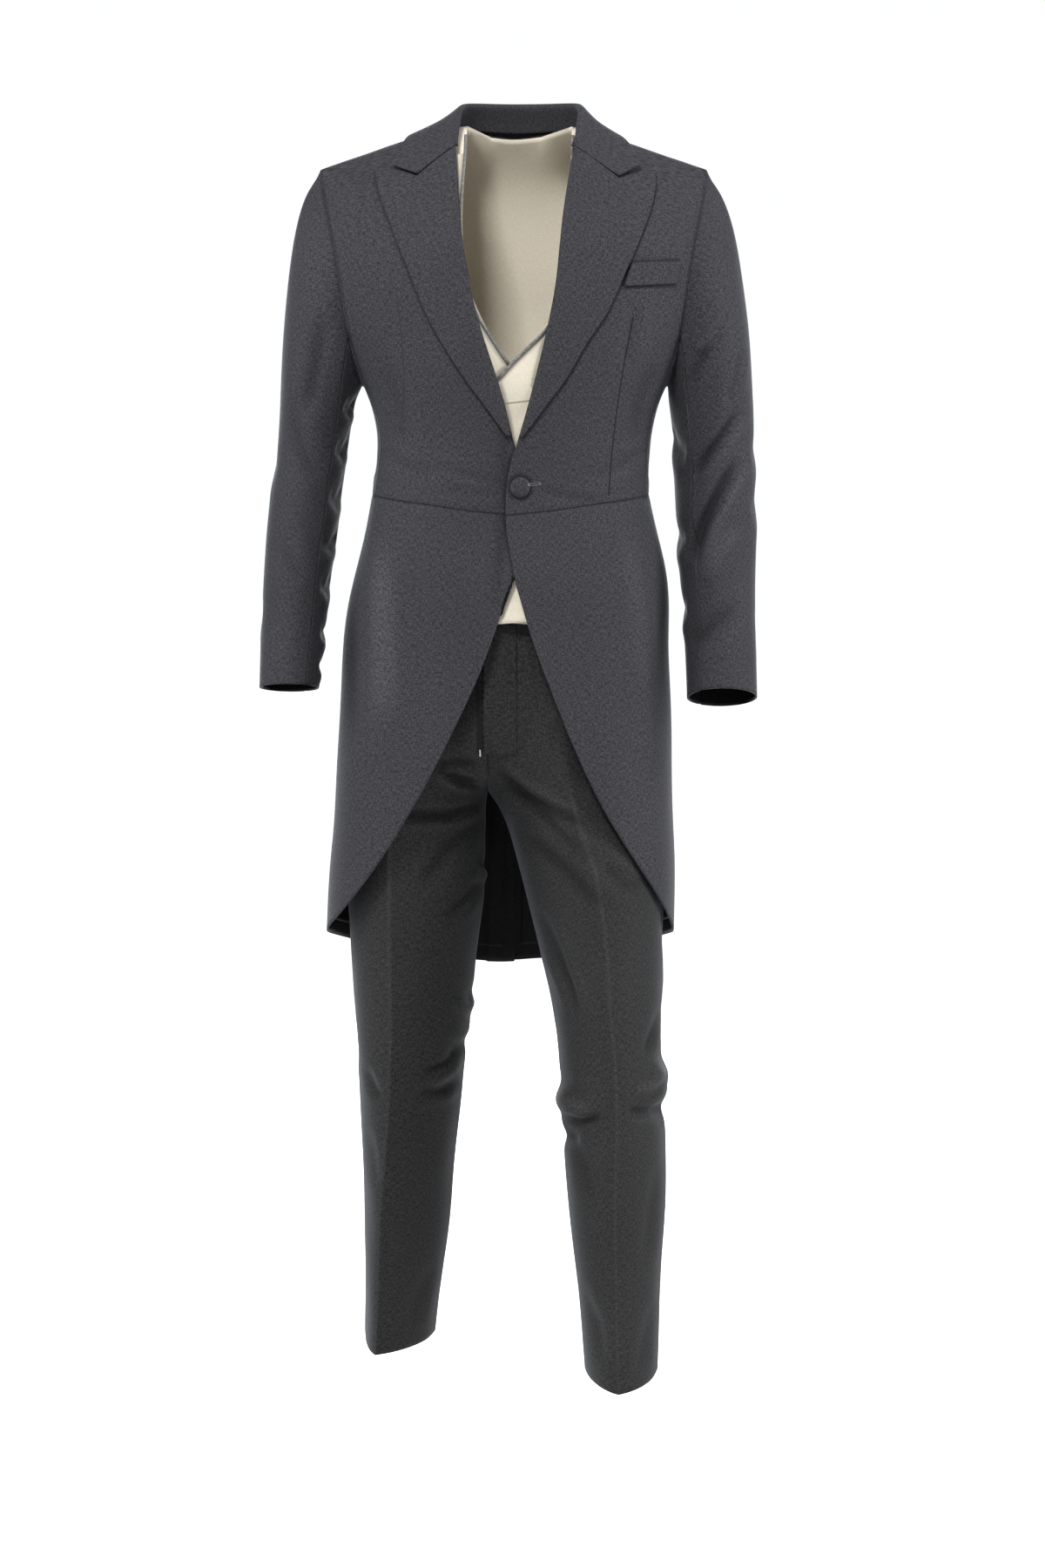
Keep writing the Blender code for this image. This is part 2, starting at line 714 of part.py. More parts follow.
# The largest folds of each sleeve: a soft ridge or trough between two places on it. Each row is
# the turn and drop it starts from, the turn and drop it ends at, its width and its lift.
SLEEVE_FOLDS = {
    LEFT: (
        (20, 315, 125, 400, 20, -4.0),
        (35, 285, 150, 345, 16, 3.5),
        (50, 380, 150, 500, 17, -3.5),
        (60, 345, 160, 455, 15, 3.0),
        (190, 380, 280, 440, 16, 3.0),
        (180, 420, 290, 400, 15, -3.5),
    ),
    RIGHT: (
        (25, 330, 120, 380, 18, -3.0),
        (40, 300, 140, 335, 16, 3.0),
        (70, 400, 160, 460, 16, 3.0),
        (75, 425, 165, 500, 16, -3.5),
        (190, 370, 285, 430, 16, 3.0),
        (185, 410, 290, 395, 15, -3.5),
    ),
}


# A fold rises and dies away over these shares of its length.
FOLD_START, FOLD_END = (-0.15, 0.3), (0.7, 1.15)


def fold_lift(folds, turn, drop, degree_length):
    """The summed lift of soft folds at a turn (degrees) and a drop (millimetres)."""
    total = 0.0
    for from_turn, from_drop, to_turn, to_drop, width, lift in folds:
        start = Vector((from_turn * degree_length, from_drop))
        run = Vector((to_turn * degree_length, to_drop)) - start
        here = Vector((turn * degree_length, drop)) - start
        along = here.dot(run) / run.length_squared
        away = (here - run * min(max(along, 0.0), 1.0)).length
        fade = ease(along, *FOLD_START) * (1 - ease(along, *FOLD_END))
        total += lift * math.exp(-((away / width) ** 2)) * fade
    return total * MM


def sleeve_ring_point(side, turn, drop):
    """A point of the arm below the cap: turn 0 is the outer side and 90 the front."""
    table = SLEEVES[side]
    angle, tilt = math.radians(turn), math.radians(table.at(drop / MM, "tilt"))
    lift = fold_lift(SLEEVE_FOLDS[side], turn, drop / MM, 1.0)
    across = (table.metres(drop, "half_width") + lift) * math.cos(angle)
    ahead = (table.metres(drop, "half_depth") + lift) * math.sin(angle)
    return Vector(
        (
            side * (table.metres(drop, "out") + across),
            table.metres(drop, "y") - ahead * math.cos(tilt),
            -drop + ahead * math.sin(tilt),
        )
    )


# How the cap leaves the armhole, each share first at its foot and then what its crown adds, and
# how far it keeps to that direction and to the arm's.
CAP_OUTWARD, CAP_AHEAD, CAP_DOWNWARD = (0.35, 0.65), 0.45, (1.0, -0.8)
CAP_LEAVING, CAP_ARRIVING = (0.30, 0.15), 0.75
RING_STEP = 4 * MM


def sleeve_point(side, turn, down):
    """A point of the sleeve: down 0 is the armhole, 1 the end of the cap and 2 the cuff."""
    turn %= 360
    if down >= 1:
        drop = SLEEVE_TOP_DROP + (CUFF_DROP[side] - SLEEVE_TOP_DROP) * (down - 1)
        return sleeve_ring_point(side, turn, drop)
    angle = math.radians(turn)
    high = (1 + math.cos(angle)) / 2
    outward = CAP_OUTWARD[0] + CAP_OUTWARD[1] * high
    downward = CAP_DOWNWARD[0] + CAP_DOWNWARD[1] * high
    leave = Vector((side * outward, -CAP_AHEAD * math.sin(angle), -downward)).normalized()
    place = (ARMHOLE.at(turn, "angle"), ARMHOLE.at(turn, "level") * MM)
    start = torso_spot(side, *place) + leave * ARMHOLE_GAP + Vector((side, 0, 0)) * ARMHOLE_GAP
    end = sleeve_ring_point(side, turn, SLEEVE_TOP_DROP)
    below = sleeve_ring_point(side, turn, SLEEVE_TOP_DROP + RING_STEP)
    reach = (end - start).length
    leave *= reach * (CAP_LEAVING[0] + CAP_LEAVING[1] * high)
    arrive = (below - end).normalized() * reach * CAP_ARRIVING
    t = down
    return (
        start * (2 * t**3 - 3 * t**2 + 1)
        + leave * (t**3 - 2 * t**2 + t)
        + end * (3 * t**2 - 2 * t**3)
        + arrive * (t**3 - t**2)
    )


def sleeve_normal(side, turn, down):
    step_turn, step_down = 1.0, 0.01
    up, low = max(down - step_down, 0.0), min(down + step_down, 2.0)
    across = sleeve_point(side, turn + step_turn, down) - sleeve_point(side, turn - step_turn, down)
    along = sleeve_point(side, turn, low) - sleeve_point(side, turn, up)
    return (across.cross(along) * side).normalized()


def even_turns(start, end, cells):
    return [start + (end - start) * c / cells for c in range(cells + 1)]


def build_sleeve_panel(name, side, turns):
    downs = [i / CAP_ROWS for i in range(CAP_ROWS)] + [1 + i / ARM_ROWS for i in range(ARM_ROWS + 1)]
    outer, inner = [], []
    for down in downs:
        points = [sleeve_point(side, turn, down) for turn in turns]
        normals = [sleeve_normal(side, turn, down) for turn in turns]
        outer.append(points)
        inner.append([point - normal * COAT_WALL for point, normal in zip(points, normals)])
    make_wall(name, drawn_in(outer), drawn_in(inner), CHARCOAL)


def build_sleeves(side):
    name = SIDE_NAMES[side]
    top = joined(even_turns(BACK_ARM_SEAM - 360, 0, 7), even_turns(0, FRONT_ARM_SEAM, 7))
    build_sleeve_panel(f"sleeve_top_{name}", side, top)
    under = even_turns(FRONT_ARM_SEAM, BACK_ARM_SEAM, 5)
    build_sleeve_panel(f"sleeve_under_{name}", side, under)


# The button

BUTTON_PLACE = (7.5 * MM, -392.3 * MM)
BUTTON_RADIUS = 11 * MM
BUTTON_PROFILE = ((0.0, 4.6), (0.45, 4.4), (0.8, 3.5), (1.0, 2.0), (0.94, 0.8), (0.6, 0.4), (0.0, 0.4))
BUTTON_STEPS = 12


def build_coat_button():
    """The covered button: a domed disc on the left front, with its face outwards."""
    angle, level = place_on_torso(LEFT, *BUTTON_PLACE)
    base = torso_point(LEFT, angle, level, FRONT_LAP)
    normal = torso_normal(LEFT, angle, level)
    turned = normal.to_track_quat("Z", "Y")
    rows = []
    for radius, height in BUTTON_PROFILE[1:-1]:
        row = []
        for step in range(BUTTON_STEPS):
            turn = 2 * math.pi * step / BUTTON_STEPS
            reach = radius * BUTTON_RADIUS
            row.append((reach * math.cos(turn), reach * math.sin(turn), height * MM))
        rows.append(row)
    points = [(0, 0, BUTTON_PROFILE[0][1] * MM), *[p for row in rows for p in row]]
    points.append((0, 0, BUTTON_PROFILE[-1][1] * MM))
    faces = []
    for step in range(BUTTON_STEPS):
        after = (step + 1) % BUTTON_STEPS
        faces.append((0, 1 + step, 1 + after))
        for r in range(len(rows) - 1):
            here, below = 1 + r * BUTTON_STEPS, 1 + (r + 1) * BUTTON_STEPS
            faces.append((here + step, below + step, below + after, here + after))
        last = 1 + (len(rows) - 1) * BUTTON_STEPS
        faces.append((len(points) - 1, last + after, last + step))
    mesh = bpy.data.meshes.new("coat_button")
    mesh.from_pydata([tuple(base + turned @ Vector(p)) for p in points], [], faces)
    return add_object("coat_button", mesh, CHARCOAL)


# Tail lining

LINING_TOP_ROW = 6
LINING_HEM_SHARE = 0.6
# The first column with lining: on the left tail it stops short of the right one, which laps inside.
LINING_FIRST_COLUMN = {LEFT: 3, RIGHT: 1}


def build_tail_lining(side):
    """The lining inside a tail, on the places of the back and the skirt, ending above the hem."""
    back = coat_back_places(side)[-PLEAT_CELLS - 1:]
    skirt = coat_skirt_places(side)
    rows = []
    for back_row, skirt_row in zip(back, skirt):
        rows.append([*back_row[LINING_FIRST_COLUMN[side]:-1], *reversed(skirt_row[FRONT_CELLS:])])
    hem = [
        tuple(a + (b - a) * LINING_HEM_SHARE for a, b in zip(above, below))
        for above, below in zip(rows[-2], rows[-1])
    ]
    places = [*rows[LINING_TOP_ROW:-1], hem]

    def lift(angle, level, _u, _v):
        return LINING_LIFT + vent_lift(side, angle, level)

    torso_wall(f"tail_lining_{SIDE_NAMES[side]}", side, places, LINING_BLACK, LINING_WALL, lift)


# The waistcoat

WAISTCOAT_NECKLINE = {
    LEFT: (
        (66, 14), (64, -18), (62, -49), (62, -88), (60, -130), (52, -180), (37.7, -217),
        (0.4, -252), (-17, -271), (-42, -292), (-56, -312),
    ),
    RIGHT: (
        (-52, 14), (-52, -18), (-54.6, -49), (-58, -88), (-57, -130), (-50, -175), (-38.7, -204),
        (-4.3, -257), (18, -280), (40, -300), (54, -318),
    ),
}
WAISTCOAT_EDGE = {LEFT: ((-56, -312), (-50, -546)), RIGHT: ((54, -318), (46, -546))}
WAISTCOAT_SHOULDER_X = {LEFT: 150, RIGHT: -150}
WAISTCOAT_ARMHOLE_FRONT = ((27, 0.060), (31, 0.120), (32, 0.180), (24, 0.245), (8, 0.290), (0, 0.298))
WAISTCOAT_ARMHOLE_BACK = (
    (-28, 0.050), (-35, 0.110), (-37, 0.180), (-28, 0.245), (-9, 0.290), (0, 0.298)
)
WAISTCOAT_SIDE_HEM = (0.0, 0.520)
WAISTCOAT_BACK_HEM = ((-90.0, 0.505), (-45.0, 0.510), WAISTCOAT_SIDE_HEM)
WAISTCOAT_FRONT_HEM = (30.0, 0.532)
WAISTCOAT_BACK_NECK = ((-90.0, 0.0128), (-72.0, 0.008))
# The waistcoat rises to the coat at the shoulders, and one front dips in under the other.
SHOULDER_RISE, SHOULDER_RISE_END = 3.2 * MM, 0.06
UNDER_ANGLES, UNDER_LEVELS = (20, 58), (0.10, 0.22)
PIPING_WIDTH, PIPING_OVERHANG, PIPING_CELLS = 3.6 * MM, 0.3 * MM, 30


def waistcoat_lift(side, angle, level, under):
    """Just inside the coat at the shoulders, further in below, and deeper under the other front."""
    lift = WAISTCOAT_LIFT + SHOULDER_RISE * (1 - ease(level, 0.0, SHOULDER_RISE_END))
    if under:
        deeper = UNDER_WAISTCOAT_LIFT - WAISTCOAT_LIFT
        lift += deeper * ease(angle, *UNDER_ANGLES) * ease(level, *UNDER_LEVELS)
    return lift


def waistcoat_front_grid(side):
    neckline = places_on_torso(side, WAISTCOAT_NECKLINE[side])
    neckline[0] = (neckline[0][0], 0.0)
    edge = places_on_torso(side, WAISTCOAT_EDGE[side])
    shoulder_x = WAISTCOAT_SHOULDER_X[side] * MM
    shoulder = (place_on_torso(side, shoulder_x, shoulder_height(shoulder_x))[0], 0.0)
    armhole = [shoulder, *WAISTCOAT_ARMHOLE_FRONT]
    first = joined(spread(neckline, 10), spread(edge, 5))
    last = joined(spread(armhole, 9), spread([armhole[-1], WAISTCOAT_SIDE_HEM], 6))
    top = spread([first[0], last[0]], 7)
    bottom = spread([first[-1], WAISTCOAT_FRONT_HEM, WAISTCOAT_SIDE_HEM], 7)
    return filled(top, bottom, first, last), neckline


def build_waistcoat_front(side):
    places, neckline = waistcoat_front_grid(side)
    name = SIDE_NAMES[side]
    under = side == RIGHT

    def lift(angle, level, _u, _v):
        return waistcoat_lift(side, angle, level, under)

    def piping_lift(angle, level, _u, _v):
        return waistcoat_lift(side, angle, level, under) + PIPING_RISE

    torso_wall(f"waistcoat_front_{name}", side, places, CREAM, WAISTCOAT_WALL, lift)
    run = spread(neckline, PIPING_CELLS)[1:]
    piping = []
    for before, here, after in zip([run[0], *run], run, [*run[1:], run[-1]]):
        along = torso_spot(side, *after) - torso_spot(side, *before)
        outwards = along.cross(torso_normal(side, *here)).normalized()
        spot = torso_spot(side, *here)
        row = []
        for shift in (PIPING_OVERHANG, -PIPING_WIDTH):
            moved = spot + outwards * shift * side
            row.append(place_on_torso(side, moved.x, moved.z))
        piping.append(row)
    torso_wall(
        f"waistcoat_piping_{name}", side, piping, PIPING_GREY, PIPING_WALL, piping_lift
    )


def build_waistcoat_back():
    halves = {}
    for side in (LEFT, RIGHT):
        neck_x = WAISTCOAT_NECKLINE[side][0][0] * MM
        neck = (place_on_torso(side, neck_x, shoulder_height(neck_x), "back")[0], 0.0)
        shoulder_x = WAISTCOAT_SHOULDER_X[side] * MM
        shoulder = (place_on_torso(side, shoulder_x, shoulder_height(shoulder_x), "back")[0], 0.0)
        centre = spread([WAISTCOAT_BACK_NECK[0], WAISTCOAT_BACK_HEM[0]], 13)
        armhole = [shoulder, *WAISTCOAT_ARMHOLE_BACK]
        last = joined(spread(armhole, 8), spread([armhole[-1], WAISTCOAT_SIDE_HEM], 5))
        top = joined(spread([*WAISTCOAT_BACK_NECK, neck], 2), spread([neck, shoulder], 3))
        bottom = spread(WAISTCOAT_BACK_HEM, 5)
        places = filled(top, bottom, centre, last)
        outer, inner = [], []
        for row in places:
            lifts = [waistcoat_lift(side, angle, level, False) for angle, level in row]
            outer.append([torso_point(side, *at, out) for at, out in zip(row, lifts)])
            inner.append(
                [torso_point(side, *at, out - WAISTCOAT_WALL) for at, out in zip(row, lifts)]
            )
        halves[side] = outer, inner
    grids = [
        [list(reversed(right[1:])) + left for right, left in zip(halves[RIGHT][k], halves[LEFT][k])]
        for k in (0, 1)
    ]
    make_wall("waistcoat_back", drawn_in(grids[0]), drawn_in(grids[1]), CREAM)


# The trousers

LEG_COLUMNS = (
    "drop", "side_x", "inner_x", "front_x", "back_x",
    "side_y", "front_y", "back_y", "inner_front_y", "inner_back_y", "sharpness",
)
LEGS = {
    RIGHT: SizeTable(
        LEG_COLUMNS,
        (
            (435, -152, -8, -85, -78, 0, -88, 75, -105, 87, 1.00),
            (500, -171, -20, -95, -85, 0, -97, 94, -112, 103, 1.00),
            (560, -178, -28, -108, -92, 0, -103, 108, -115, 116, 1.00),
            (620, -182, -29, -120, -98, 0, -104, 113, -112, 118, 1.02),
            (680, -185, -29, -130, -102, 2, -103, 115, -100, 104, 1.05),
            (720, -186, -29, -135, -104, 4, -102, 114, -66, 68, 1.08),
            (744, -187, -30, -138, -105, 5, -101, 114, 4, 4, 1.10),
            (800, -189, -32, -141, -106, 10, -96, 117, 10, 10, 1.15),
            (870, -192, -34, -141, -104, 17, -88, 125, 17, 17, 1.20),
            (930, -191, -43, -141, -102, 23, -79, 129, 23, 23, 1.25),
            (992, -186.5, -48.5, -140, -100, 30, -70, 133, 30, 30, 1.30),
            (1055, -183, -56, -142, -100, 36, -61, 136, 36, 36, 1.35),
            (1118, -179.5, -62, -145, -98, 42, -53, 140, 42, 42, 1.38),
            (1182, -177, -69, -151, -98, 49, -45, 144, 49, 49, 1.40),
            (1267, -175.6, -76, -156, -98, 57, -34, 149, 57, 57, 1.43),
            (1331, -176, -86, -158, -103, 64, -26, 153, 64, 64, 1.45),
            (1393, -177, -93, -161, -109, 70, -18, 157, 70, 70, 1.48),
        ),
    ),
    LEFT: SizeTable(
        LEG_COLUMNS,
        (
            (435, 145, -8, 78, 72, 0, -88, 75, -105, 87, 1.00),
            (500, 160, -20, 70, 76, 0, -100, 94, -112, 103, 1.00),
            (560, 164, -28, 62, 80, 0, -106, 105, -115, 116, 1.00),
            (620, 166, -29, 58, 80, -1, -110, 112, -112, 118, 1.02),
            (680, 168, -29, 58, 80, -3, -114, 115, -100, 104, 1.05),
            (720, 169, -29, 62, 80, -4, -116, 112, -66, 68, 1.08),
            (744, 170, -28, 66, 80, -5, -118, 109, -5, -5, 1.10),
            (770, 170.5, -11, 73, 82, -8, -121, 105, -8, -8, 1.12),
            (800, 171, -2, 84, 84, -12, -124, 99, -12, -12, 1.15),
            (830, 171.5, 6, 94, 88, -17, -127, 92, -17, -17, 1.17),
            (865, 172, 15, 99, 92, -22, -130, 85, -22, -22, 1.20),
            (900, 173, 24, 104, 98, -27, -134, 78, -27, -27, 1.22),
            (940, 173.5, 34, 106, 102, -33, -138, 70, -33, -33, 1.25),
            (981, 171.5, 44, 108, 106, -39, -143, 62, -39, -39, 1.29),
            (1040, 172, 51, 114, 110, -48, -150, 52, -48, -48, 1.33),
            (1100, 173, 54, 115, 114, -57, -156, 42, -57, -57, 1.37),
            (1177, 174.5, 58.5, 113, 116, -68, -165, 26, -68, -68, 1.40),
            (1256, 170, 67.5, 114, 117, -80, -173, 11, -80, -80, 1.43),
            (1334, 166, 76.5, 115, 119, -91, -181, -1, -91, -91, 1.46),
            (1393, 164.5, 81, 117, 121, -100, -188, -12, -100, -100, 1.48),
        ),
    ),
}
LEG_DROPS = (
    435, 470, 505, 540, 575, 610, 645, 675, 700, 720, 734, 746, 765, 795, 830, 865, 900, 935, 970,
    1005, 1040, 1066, 1083, 1100, 1118, 1140, 1172, 1210, 1250, 1295, 1345, 1393,
)

LEG_DEGREE_LENGTH = 1.2

# Turn 0 is the side seam, 90 the crease and 180 the centre or inside seam.
LEG_FRONT_FOLDS = {
    LEFT: (
        (172, 742, 110, 790, 15, -5.0),
        (168, 765, 100, 830, 15, 4.0),
        (150, 740, 60, 770, 14, -3.5),
        (160, 830, 80, 905, 18, -3.0),
        (70, 700, 140, 690, 14, 3.0),
        (0, 1078, 60, 1086, 12, 8.0),
        (0, 1099, 70, 1103, 10, -10.0),
        (180, 1086, 115, 1092, 15, 11.0),
        (180, 1119, 105, 1112, 10, -10.0),
    ),
    RIGHT: (
        (172, 738, 120, 700, 15, -4.5),
        (165, 745, 90, 730, 14, 3.5),
        (150, 768, 20, 766, 13, -3.5),
        (170, 770, 100, 845, 16, -3.0),
        (170, 990, 110, 1010, 14, -3.0),
        (175, 1055, 110, 1075, 14, 3.0),
    ),
}
LEG_BACK_FOLDS = {
    LEFT: (
        (165, 800, 60, 850, 20, -4.0),
        (175, 840, 70, 905, 18, 3.5),
        (20, 1075, 160, 1095, 16, -5.0),
        (20, 1040, 160, 1055, 16, 3.5),
    ),
    RIGHT: (
        (165, 790, 60, 840, 20, -4.0),
        (175, 830, 70, 890, 18, 3.5),
        (20, 1060, 160, 1085, 16, -4.5),
        (20, 1025, 160, 1045, 16, 3.5),
    ),
}


HEM_SLANT, HEM_SLANT_RISE, BACK_SLANT_SHARE = 7 * MM, 120 * MM, 0.6
SEAM_TURN = (0.55, 1.0)
CROTCH_DROP = 744 * MM


def leg_inner_y(side, facing, drop):
    """The depth of the centre seam, or below the crotch that of the inside seam."""
    column = "inner_front_y" if drop >= CROTCH_DROP else f"inner_{facing}_y"
    return LEGS[side].metres(drop, column)


def leg_depth(side, facing, inward, drop):
    """The depth (y) between the crease and the inside, by the share of the way inward.

    Above the crotch it runs nearly flat to the centre seam, below it turns round the leg.
    """
    table = LEGS[side]
    crease_y, inner_y = table.metres(drop, f"{facing}_y"), leg_inner_y(side, facing, drop)
    side_y = table.metres(drop, "side_y")
    leg_share = min(max((inner_y - crease_y) / (side_y - crease_y), 0.0), 1.0)
    flat = crease_y + (inner_y - crease_y) * inward * inward * (3 - 2 * inward)
    sharpness = table.at(drop / MM, "sharpness")
    round_share = math.sqrt(max(1 - inward ** (2 / sharpness), 0.0))
    turned = inner_y + (crease_y - inner_y) * round_share
    return flat + (turned - flat) * leg_share


def leg_point(side, facing, turn, drop):
    """A point of a trouser leg: turn 0 is the side seam, 90 the crease, 180 the inside."""
    table = LEGS[side]
    crease_x = table.metres(drop, f"{facing}_x")
    half = math.radians(turn if turn <= 90 else 180 - turn)
    share = math.cos(half) ** table.at(drop / MM, "sharpness") if turn != 90 else 0.0
    if turn <= 90:
        side_y, crease_y = table.metres(drop, "side_y"), table.metres(drop, f"{facing}_y")
        x = crease_x + (table.metres(drop, "side_x") - crease_x) * share
        y = side_y + (crease_y - side_y) * math.sin(half)
    else:
        x = crease_x + (table.metres(drop, "inner_x") - crease_x) * share
        y = leg_depth(side, facing, share, drop)
    slant = HEM_SLANT * ease(drop, HEM_DROP - HEM_SLANT_RISE, HEM_DROP) * math.sin(half)
    return Vector((x, y, -drop - slant * (1 if facing == "front" else -BACK_SLANT_SHARE)))


def leg_normal(side, facing, turn, drop):
    """The level outward direction of a leg's cloth."""
    outwards = -1 if facing == "front" else 1
    table = LEGS[side]
    if turn == 90:
        return Vector((0, outwards, 0))
    if turn == 0:
        return Vector((side, 0, 0))
    if turn == 180:
        inner_y, crease_y = leg_inner_y(side, facing, drop), table.metres(drop, f"{facing}_y")
        leg_share = (inner_y - crease_y) / (table.metres(drop, "side_y") - crease_y)
        inwards = ease(leg_share, *SEAM_TURN)
        return Vector((-side * inwards, outwards * (1 - inwards), 0)).normalized()
    across = leg_point(side, facing, turn + 2, drop) - leg_point(side, facing, turn - 2, drop)
    flat = Vector((across.y, -across.x, 0)).normalized()
    return flat if flat.y * outwards > 0 else -flat


def leg_lift(side, facing, turn, drop_mm):
    """The lift of the folds. At the side and inside seams the back follows the front."""
    front_folds, back_folds = LEG_FRONT_FOLDS[side], LEG_BACK_FOLDS[side]
    if facing == "front":
        return fold_lift(front_folds, turn, drop_mm, LEG_DEGREE_LENGTH)
    seam = 0 if turn < 90 else 180
    near_seam = 1 - ease(abs(turn - seam), 0, 50)
    own = fold_lift(back_folds, turn, drop_mm, LEG_DEGREE_LENGTH) * (1 - near_seam)
    return own + fold_lift(front_folds, seam, drop_mm, LEG_DEGREE_LENGTH) * near_seam


def leg_grids(side, facing, turns):
    outer, inner = [], []
    for drop_mm in LEG_DROPS:
        drop = drop_mm * MM
        outer_row, inner_row = [], []
        for turn in turns:
            point = leg_point(side, facing, turn, drop)
            normal = leg_normal(side, facing, turn, drop)
            lift = leg_lift(side, facing, turn, drop_mm)
            outer_row.append(point + normal * lift)
            inner_row.append(point + normal * (lift - TROUSER_WALL))
        outer.append(outer_row)
        inner.append(inner_row)
    return outer, inner


FRONT_TURNS = (0, 24, 48, 70, 90, 110, 132, 156, 180)
BACK_TURNS = (0, 32, 62, 90, 118, 148, 180)


def build_legs(side):
    for facing, turns in (("front", FRONT_TURNS), ("back", BACK_TURNS)):
        outer, inner = leg_grids(side, facing, turns)
        make_wall(
            f"trouser_{facing}_{SIDE_NAMES[side]}", drawn_in(outer), drawn_in(inner), TROUSER_CLOTH
        )


WAISTBAND_HEIGHT, WAISTBAND_FOOT = 38 * MM, 0.5 * MM


def build_waistband():
    loop = []
    for side, facing, turns in (
        (RIGHT, "front", FRONT_TURNS),
        (LEFT, "front", tuple(reversed(FRONT_TURNS))[1:]),
        (LEFT, "back", BACK_TURNS[1:]),
        (RIGHT, "back", tuple(reversed(BACK_TURNS))[1:-1]),
    ):
        for turn in turns:
            point = leg_point(side, facing, turn, TROUSER_TOP_DROP)
            loop.append((point, leg_normal(side, facing, turn, TROUSER_TOP_DROP)))
    outer, inner = [], []
    for rise in (WAISTBAND_HEIGHT, WAISTBAND_HEIGHT / 2, WAISTBAND_FOOT):
        shift = Vector((0, 0, rise))
        outer.append([point + shift for point, _ in loop])
        inner.append([point + shift - normal * TROUSER_WALL for point, normal in loop])
    make_wall("trouser_waistband", outer, inner, TROUSER_CLOTH, round_it=True)


FLY_EDGE_X = -34 * MM
FLY_FOLD_X = 4 * MM
FLY_LIFT, FLY_WALL = 2.4 * MM, 1.4 * MM
FLY_DROPS = (437, 470, 505, 540, 575, 610, 645, 672, 692)


def trouser_front_y(x, drop):
    """The depth of the trouser front near the centre, at x and a drop."""
    side = LEFT if x > LEGS[LEFT].metres(drop, "inner_x") else RIGHT
    table = LEGS[side]
    crease_x, inner_x = table.metres(drop, "front_x"), table.metres(drop, "inner_x")
    inward = min(max((x - crease_x) / (inner_x - crease_x), 0.0), 1.0)
    return leg_depth(side, "front", inward, drop)


def build_fly():
    outer, inner = [], []
    for drop_mm in FLY_DROPS:
        drop = drop_mm * MM
        row = [
            Vector((x, trouser_front_y(x, drop) - FLY_LIFT, -drop))
            for x in (FLY_EDGE_X, FLY_EDGE_X / 2, FLY_FOLD_X)
        ]
        outer.append(row)
        inner.append([point + Vector((0, FLY_WALL, 0)) for point in row])
    make_wall("trouser_fly", drawn_in(outer), drawn_in(inner), TROUSER_CLOTH)


def build_suit():
    for made in list(bpy.data.objects):
        bpy.data.objects.remove(made, do_unlink=True)
    for side in (LEFT, RIGHT):
        build_coat_front(side)
        build_coat_side(side)
        build_coat_back(side)
        build_coat_skirt(side)
        build_lapel(side)
        build_sleeves(side)
        build_tail_lining(side)
        build_waistcoat_front(side)
        build_legs(side)
    build_collar()
    build_breast_welt()
    build_coat_button()
    build_waistcoat_back()
    build_waistband()
    build_fly()


build_suit()
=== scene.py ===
# %% [markdown]
# # A three-piece morning suit, in the shape it is worn
#
# The suit is a one-button cutaway coat with tails, a crossing waistcoat with piped edges, and
# trousers with pressed creases. Every cut piece of cloth is a thin shell of its own, laid on the
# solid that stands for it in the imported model. The folds, the weave and the sewing are made here.

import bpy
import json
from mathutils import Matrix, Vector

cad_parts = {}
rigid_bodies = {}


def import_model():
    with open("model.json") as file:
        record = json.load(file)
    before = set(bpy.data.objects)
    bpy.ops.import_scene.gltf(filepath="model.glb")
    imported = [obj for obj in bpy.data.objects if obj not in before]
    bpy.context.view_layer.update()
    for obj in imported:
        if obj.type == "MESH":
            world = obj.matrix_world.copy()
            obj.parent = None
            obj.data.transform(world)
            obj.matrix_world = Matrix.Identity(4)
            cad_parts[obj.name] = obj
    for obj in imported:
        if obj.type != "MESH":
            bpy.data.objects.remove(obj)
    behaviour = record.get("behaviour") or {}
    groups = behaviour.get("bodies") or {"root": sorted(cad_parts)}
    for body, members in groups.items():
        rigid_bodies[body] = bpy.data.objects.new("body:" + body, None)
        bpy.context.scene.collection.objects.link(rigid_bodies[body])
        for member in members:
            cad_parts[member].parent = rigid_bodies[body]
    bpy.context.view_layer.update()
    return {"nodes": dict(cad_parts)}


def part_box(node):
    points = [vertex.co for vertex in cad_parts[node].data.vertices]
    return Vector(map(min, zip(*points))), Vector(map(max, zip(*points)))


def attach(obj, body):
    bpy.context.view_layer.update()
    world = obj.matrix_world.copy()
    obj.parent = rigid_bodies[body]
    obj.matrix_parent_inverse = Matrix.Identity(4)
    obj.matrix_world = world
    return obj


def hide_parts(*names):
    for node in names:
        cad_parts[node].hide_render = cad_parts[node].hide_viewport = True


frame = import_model()

# %% Tools and units
import json
import math
from functools import partial

import bmesh
import bpy
import numpy as np
from mathutils import Vector
from mathutils.kdtree import KDTree

MM = 0.001
SIDES = ("left", "right")


def place_object(name, data):
    made = bpy.data.objects.new(name, data)
    bpy.context.scene.collection.objects.link(made)
    return made


def mesh_from(shape, name):
    """A mesh with the bmesh's shape. The bmesh is freed."""
    made = bpy.data.meshes.new(name)
    shape.to_mesh(made)
    shape.free()
    return made


def mesh_points(mesh):
    """The points of a mesh in mm."""
    points = np.empty(len(mesh.vertices) * 3)
    mesh.vertices.foreach_get("co", points)
    return points.reshape(-1, 3) * 1000


print("unit in metres:", MM)

# %% [markdown]
# ## Camera
#
# The photograph was taken from a few metres away and a little above the waist, looking slightly
# down. A long lens keeps the suit's upright lines nearly parallel, as they are there.

